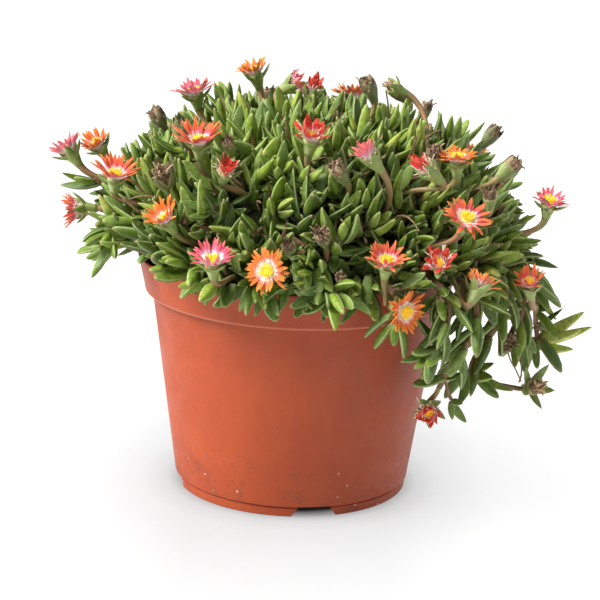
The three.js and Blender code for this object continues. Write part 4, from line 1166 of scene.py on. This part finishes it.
def petal_silk(name, pale, ring, middle, tip, outside):
    """The finish of one tone of petals, pale up to that share of their length, with fine lines along."""
    silk, tree, shader = new_finish(name, 0.5)
    shader.inputs["Specular IOR Level"].default_value = 0.2
    _, along, below = map_halves(tree)
    ragged = speckle(tree, 500, detail=2)
    reach = worked_out(tree, "ADD", along, between(tree, ragged, 0.3, 0.7, -0.06, 0.06))
    inside = colour_run(tree, reach, [
        (0.0, (0.98, 0.86, 0.5)), (0.14, (0.99, 0.96, 0.9)), (pale, (0.99, 0.93, 0.92)),
        (pale + 0.12, ring), (pale + 0.3, middle), (1.0, tip),
    ])
    beyond = colour_run(tree, reach, [
        (0.0, (0.98, 0.9, 0.88)), (0.25, (0.97, 0.7, 0.74)), (0.5, outside), (1.0, tip),
    ])
    colour = mixed(tree, below, inside, beyond)
    own = part_left(tree, tone_of(tree), 31.7)
    colour = mixed(tree, between(tree, own, 0.55, 1, 0, 0.4), colour, beyond)
    shade = between(tree, tone_of(tree), 0, 1, 0.72, 1.02)
    dimmed = tree.nodes.new("ShaderNodeHueSaturation")
    tree.links.new(shade, dimmed.inputs["Value"])
    tree.links.new(colour, dimmed.inputs["Color"])
    tree.links.new(dimmed.outputs["Color"], shader.inputs["Base Color"])
    # Painted glow: the petals give off a faint light of their own colour, standing in for light that
    # shines through them.
    tree.links.new(dimmed.outputs["Color"], shader.inputs["Emission Color"])
    shader.inputs["Emission Strength"].default_value = 0.1
    lines = tree.nodes.new("ShaderNodeTexWave")
    lines.inputs["Scale"].default_value = 3
    lines.bands_direction = "X"
    spread = tree.nodes.new("ShaderNodeMapping")
    spread.inputs["Scale"].default_value = (14, 0.4, 1)
    tree.links.new(surface_map(tree), spread.inputs["Vector"])
    tree.links.new(spread.outputs["Vector"], lines.inputs["Vector"])
    raised(tree, shader, lines.outputs["Fac"], 0.00008, 0.6)
    return silk


pollen, tree, shader = new_finish("yellow_stamens", 0.6)
_, along, _ = map_halves(tree)
dust = speckle(tree, 1500, detail=3)
colour = colour_run(tree, along, [
    (0.0, (0.96, 0.8, 0.3)), (0.45, (0.97, 0.68, 0.06)), (0.75, (0.98, 0.66, 0.025)),
])
colour = mixed(tree, between(tree, dust, 0.5, 0.75, 0, 0.3), colour, (0.98, 0.78, 0.12))
tree.links.new(colour, shader.inputs["Base Color"])
# Painted glow: the stamens give off a faint yellow light of their own, lifting the shade between them.
tree.links.new(colour, shader.inputs["Emission Color"])
shader.inputs["Emission Strength"].default_value = 0.16
raised(tree, shader, dust, 0.0002, 0.6)

cream = two_toned("cream_threads", 0.55, (500, 3), (0.35, 0.65),
                  (0.95, 0.9, 0.82), (0.93, 0.72, 0.42), (0.0001, 0.5))
thread = {**stamen, "finish": 2}

silks = {tone: petal_silk("petal_" + tone, *colours) for tone, colours in PETAL_TONES.items()}
ROSY = {1}  # corals that have turned pink
WIDE_OPEN = 45  # petals raised less than this lie wide open
for number, flower in enumerate(flowers[:len(BLOOMS) + 1], 1):
    face, seat, lifted = flower["face"], flower["seat"], flower["raised"]
    across = face.cross(Vector((0.1, 0.7, 0.4))).normalized()
    wilted = flower["tone"] == "red"
    wide = lifted < WIDE_OPEN
    eye = 2.5 if wide else 2.2 if lifted < 60 else 1.6
    reach = flower["width"] / 2 - eye
    rings = [(19, 0, 1.0), (16, 8, 0.92)] if wide else [(15, 0, 1.0), (12, 9, 0.88)]
    if wilted:
        rings = [(11, 0, 1.0), (8, 12, 0.8)]
    placing = set_out(seat + face * 1.1, face, across, (eye / 2.7, eye / 2.7, 1.7))
    copies = [(boss, placing, Vector(), 0.5)]
    for count, steeper, share in rings:
        first = chance.uniform(0, 360)
        for k in range(count):
            radial = turned(across, face, first + 360 * k / count + chance.uniform(-5, 5))
            raised_by = min(88, lifted + steeper + chance.uniform(-10, 12 + 14 * wilted))
            along, above = opened(radial, face, raised_by)
            length = reach * share * chance.uniform(0.8, 1.02) / PETAL_LENGTH
            curl = above * (chance.uniform(0, 3.5) if wilted else chance.uniform(-1.4, 0.6))
            curl += stray(2.2 if wilted else 1.6 if flower["tone"] == "pink" else 0.9)
            girth = chance.uniform(0.85, 1.1) * (1.5 if wilted else 1)
            placing = set_out(seat + radial * eye * 0.8 + face * 0.6, along, above, (girth, 1, length))
            copies.append((chance.choice(petals), placing, curl, chance.uniform(0.3, 1)))
    stamens = 12 if wilted else 44 if wide else 26
    for k in range(stamens):
        spread_out = math.sqrt((k + 0.5) / stamens)
        radial = turned(across, face, k * SPIRAL_STEP)
        along = (face + radial * spread_out * (0.5 if wide else 0.25)).normalized()
        root = seat + radial * spread_out * eye * 0.66 + face * 0.9
        placing = set_out(root, along, radial, (1.1, 1.1, chance.uniform(0.7, 1)))
        copies.append((stamen, placing, stray(0.4), chance.uniform(0.3, 1)))
    for k in range(44 if wilted else 22):
        radial = turned(across, face, k * SPIRAL_STEP * 1.7)
        along = (face * 0.9 + radial * (0.5 if wilted else 0.9)).normalized()
        size = (0.8, 0.8, chance.uniform(0.9, 1.5) if wilted else chance.uniform(0.8, 1.1))
        placing = set_out(seat + radial * eye * 0.85 + face * 0.6, along, radial, size)
        copies.append((thread, placing, stray(2.6 if wilted else 0.6), chance.uniform(0.3, 1)))
    silk = silks["pink" if number in ROSY else flower["tone"]]
    piece = joined_copies(f"flower_{number:02d}", copies, [silk, pollen, cream])
    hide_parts(f"bloom_{number:02d}")


# Spent heads: blooms that are over. Their petals have dried to brown threads, shrivelled into a knob
# that the closing lobes of the cup hold, and they stay on the plant.
SEPAL_LENGTH = 5
withered = dried("withered_petals", 900, 0.3, 1.5, [
    (0.0, (0.06, 0.035, 0.02)), (0.3, (0.2, 0.12, 0.065)), (0.67, (0.48, 0.36, 0.21)),
    (1.0, (0.86, 0.62, 0.36)),
], 0.0005)
dry_sepal = shape_of(
    fleshy_blade(SEPAL_LENGTH, 3, 1.7, [(0, 0.8, 1), (0.3, 1, 1), (0.62, 0.84, 0.9), (0.88, 0.46, 0.6)]),
    SEPAL_LENGTH * MM,
)


def dry_knob(flower):
    """What is left inside the cup: a knob of folded husks, with shrivelled threads in the middle."""
    face, seat, size = flower["face"], flower["seat"], flower["size"]
    across = face.cross(Vector((0.1, 0.7, 0.4))).normalized()
    knob = set_out(seat + face * 1.4 * size, face, across, (1.15 * size, 1.15 * size, 2 * size))
    copies = [(boss, knob, Vector(), 0.5)]
    dryness = 0.15
    husks = ((8, 2.5, 0.2, 0.3, 0.6 if size > RIPE else 1.1), (7, 1.3, 1.8, 0.5, 0.8))
    if flower["closed"] < SHUT:
        dryness = 0.75
        husks = ((7, 1.4, 0.3, 1.6, 0.62), (5, 0.6, 1.2, 0.8, 0.5))
    for count, out, rise, lean, length in husks:
        for k in range(count):
            radial = turned(across, face, 360 * k / count + chance.uniform(-12, 12))
            root = seat + (radial * out + face * rise) * size
            span = length * size * chance.uniform(0.8, 1.1)
            placing = set_out(root, face + radial * lean, -radial, (size, size, span))
            sway = -radial * out * 0.5 * size + stray(0.5)
            copies.append((dry_sepal, placing, sway, dryness + chance.uniform(0, 0.8)))
    for k in range(14):
        radial = turned(across, face, k * SPIRAL_STEP)
        along = (face + radial * chance.uniform(0, 0.7)).normalized()
        length = chance.uniform(0.24, 0.42) * size
        placing = set_out(seat + (radial * 0.8 + face * 2.2) * size, along, -radial,
                          (0.7 * size, 1.6 * size, length))
        copies.append((chance.choice(petals), placing, stray(1.6), dryness + chance.uniform(0, 0.8)))
    return copies


spent = [flower for flower in flowers if flower["tone"] == "spent"]
for number, flower in enumerate(spent, 1):
    piece = joined_copies(f"dry_head_{number:02d}", dry_knob(flower), [withered, withered])
    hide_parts(f"spent_head_{number:02d}")
old_knobs = [copy for flower in flowers if flower["tone"] == "old" for copy in dry_knob(flower)]
piece = joined_copies("old_heads", old_knobs, [withered, withered])


# Stage: a white studio table with white paper all round it far off, lit softly from the upper left,
# with the camera at the photograph's height and turn. None of it belongs to the plant.
# The table and the paper glow white of themselves; the table's glow fades towards the pot, a painted
# shadow round its foot, and is a little stronger at its sides, painted light.
TABLE_SIZE = 30  # metres
BACKDROP_RADIUS = 14
BACKDROP_HEIGHT = 2
table_top = started(bpy.ops.mesh.primitive_plane_add, size=TABLE_SIZE)
table_top.name = "white_table"
TABLE_GLOW_AND_PAINTED_SHADOW = [  # millimetres from the pot's axis, how bright the table glows there; the dimmer glow near the pot is a painted shadow
    (0, 0), (46, 0.01), (56, 0.5), (60, 0.62), (72, 0.72), (95, 0.77), (120, 0.82), (155, 0.88),
    (230, 0.98),
]
glowing_paper, tree, shader = new_finish("glowing_white_paper", 0.75)
tooth = speckle(tree, 40, detail=2)
colour = mixed(tree, tooth, (0.055, 0.055, 0.055), (0.07, 0.07, 0.07))
tree.links.new(colour, shader.inputs["Base Color"])
from_pot = tree.nodes.new("ShaderNodeVectorMath")
from_pot.operation = "LENGTH"
tree.links.new(tree.nodes.new("ShaderNodeTexCoord").outputs["Object"], from_pot.inputs[0])
# Painted shadow: the glow fades to nothing under the pot and rises outwards.
glow_and_painted_shadow = colour_run(tree, between(tree, from_pot.outputs["Value"], 0, 0.3), [
    (reach / 300, (light, light, light)) for reach, light in TABLE_GLOW_AND_PAINTED_SHADOW
])
sideways = tree.nodes.new("ShaderNodeSeparateXYZ")
tree.links.new(from_pot.inputs[0].links[0].from_socket, sideways.inputs["Vector"])
# Painted light: the glow is a little stronger to the left and right of the pot than in front and behind.
painted_side_light = between(tree, worked_out(tree, "ABSOLUTE", sideways.outputs["X"], 0), 0.045, 0.095, 0, 0.13)
tree.links.new(worked_out(tree, "ADD", glow_and_painted_shadow, painted_side_light), shader.inputs["Emission Color"])
shader.inputs["Emission Strength"].default_value = 1
backdrop = started(
    bpy.ops.mesh.primitive_cylinder_add, vertices=96, radius=BACKDROP_RADIUS, end_fill_type="NOTHING",
    depth=BACKDROP_HEIGHT, location=(0, 0, BACKDROP_HEIGHT / 2),
)
backdrop.name = "paper_backdrop"
bpy.ops.object.transform_apply(location=True)
for sheet in (table_top, backdrop):
    sheet.data.materials.append(glowing_paper)

world = bpy.data.worlds.new("studio")
bpy.context.scene.world = world
world.use_nodes = True
world.node_tree.nodes["Background"].inputs["Color"].default_value = (1, 1, 1, 1)
world.node_tree.nodes["Background"].inputs["Strength"].default_value = 0.03
LAMPS = [  # azimuth and elevation it shines from, spread in degrees, strength
    (-160, 46, 32, 6.1),
    (15, 52, 60, 0.6),
    (-172, 8, 60, 0.7),
]
for azimuth, elevation, spread, strength in LAMPS:
    bpy.ops.object.light_add(type="SUN", location=heading(azimuth, elevation) * 2)
    lamp = bpy.context.object
    lamp.data.angle = math.radians(spread)
    lamp.data.energy = strength
    lamp.rotation_euler = heading(azimuth, elevation).to_track_quat("Z", "Y").to_euler()

CAMERA_PLACE = (0, -0.9575, 0.3484)
CAMERA_TURN = (74.764, -2.047, 0.472)  # degrees
CAMERA_LENS = 126.7
bpy.ops.object.camera_add(
    location=CAMERA_PLACE, rotation=[math.radians(turn) for turn in CAMERA_TURN]
)
camera = bpy.context.object
camera.data.lens = CAMERA_LENS
bpy.context.scene.camera = camera
bpy.context.scene.view_settings.view_transform = "Standard"
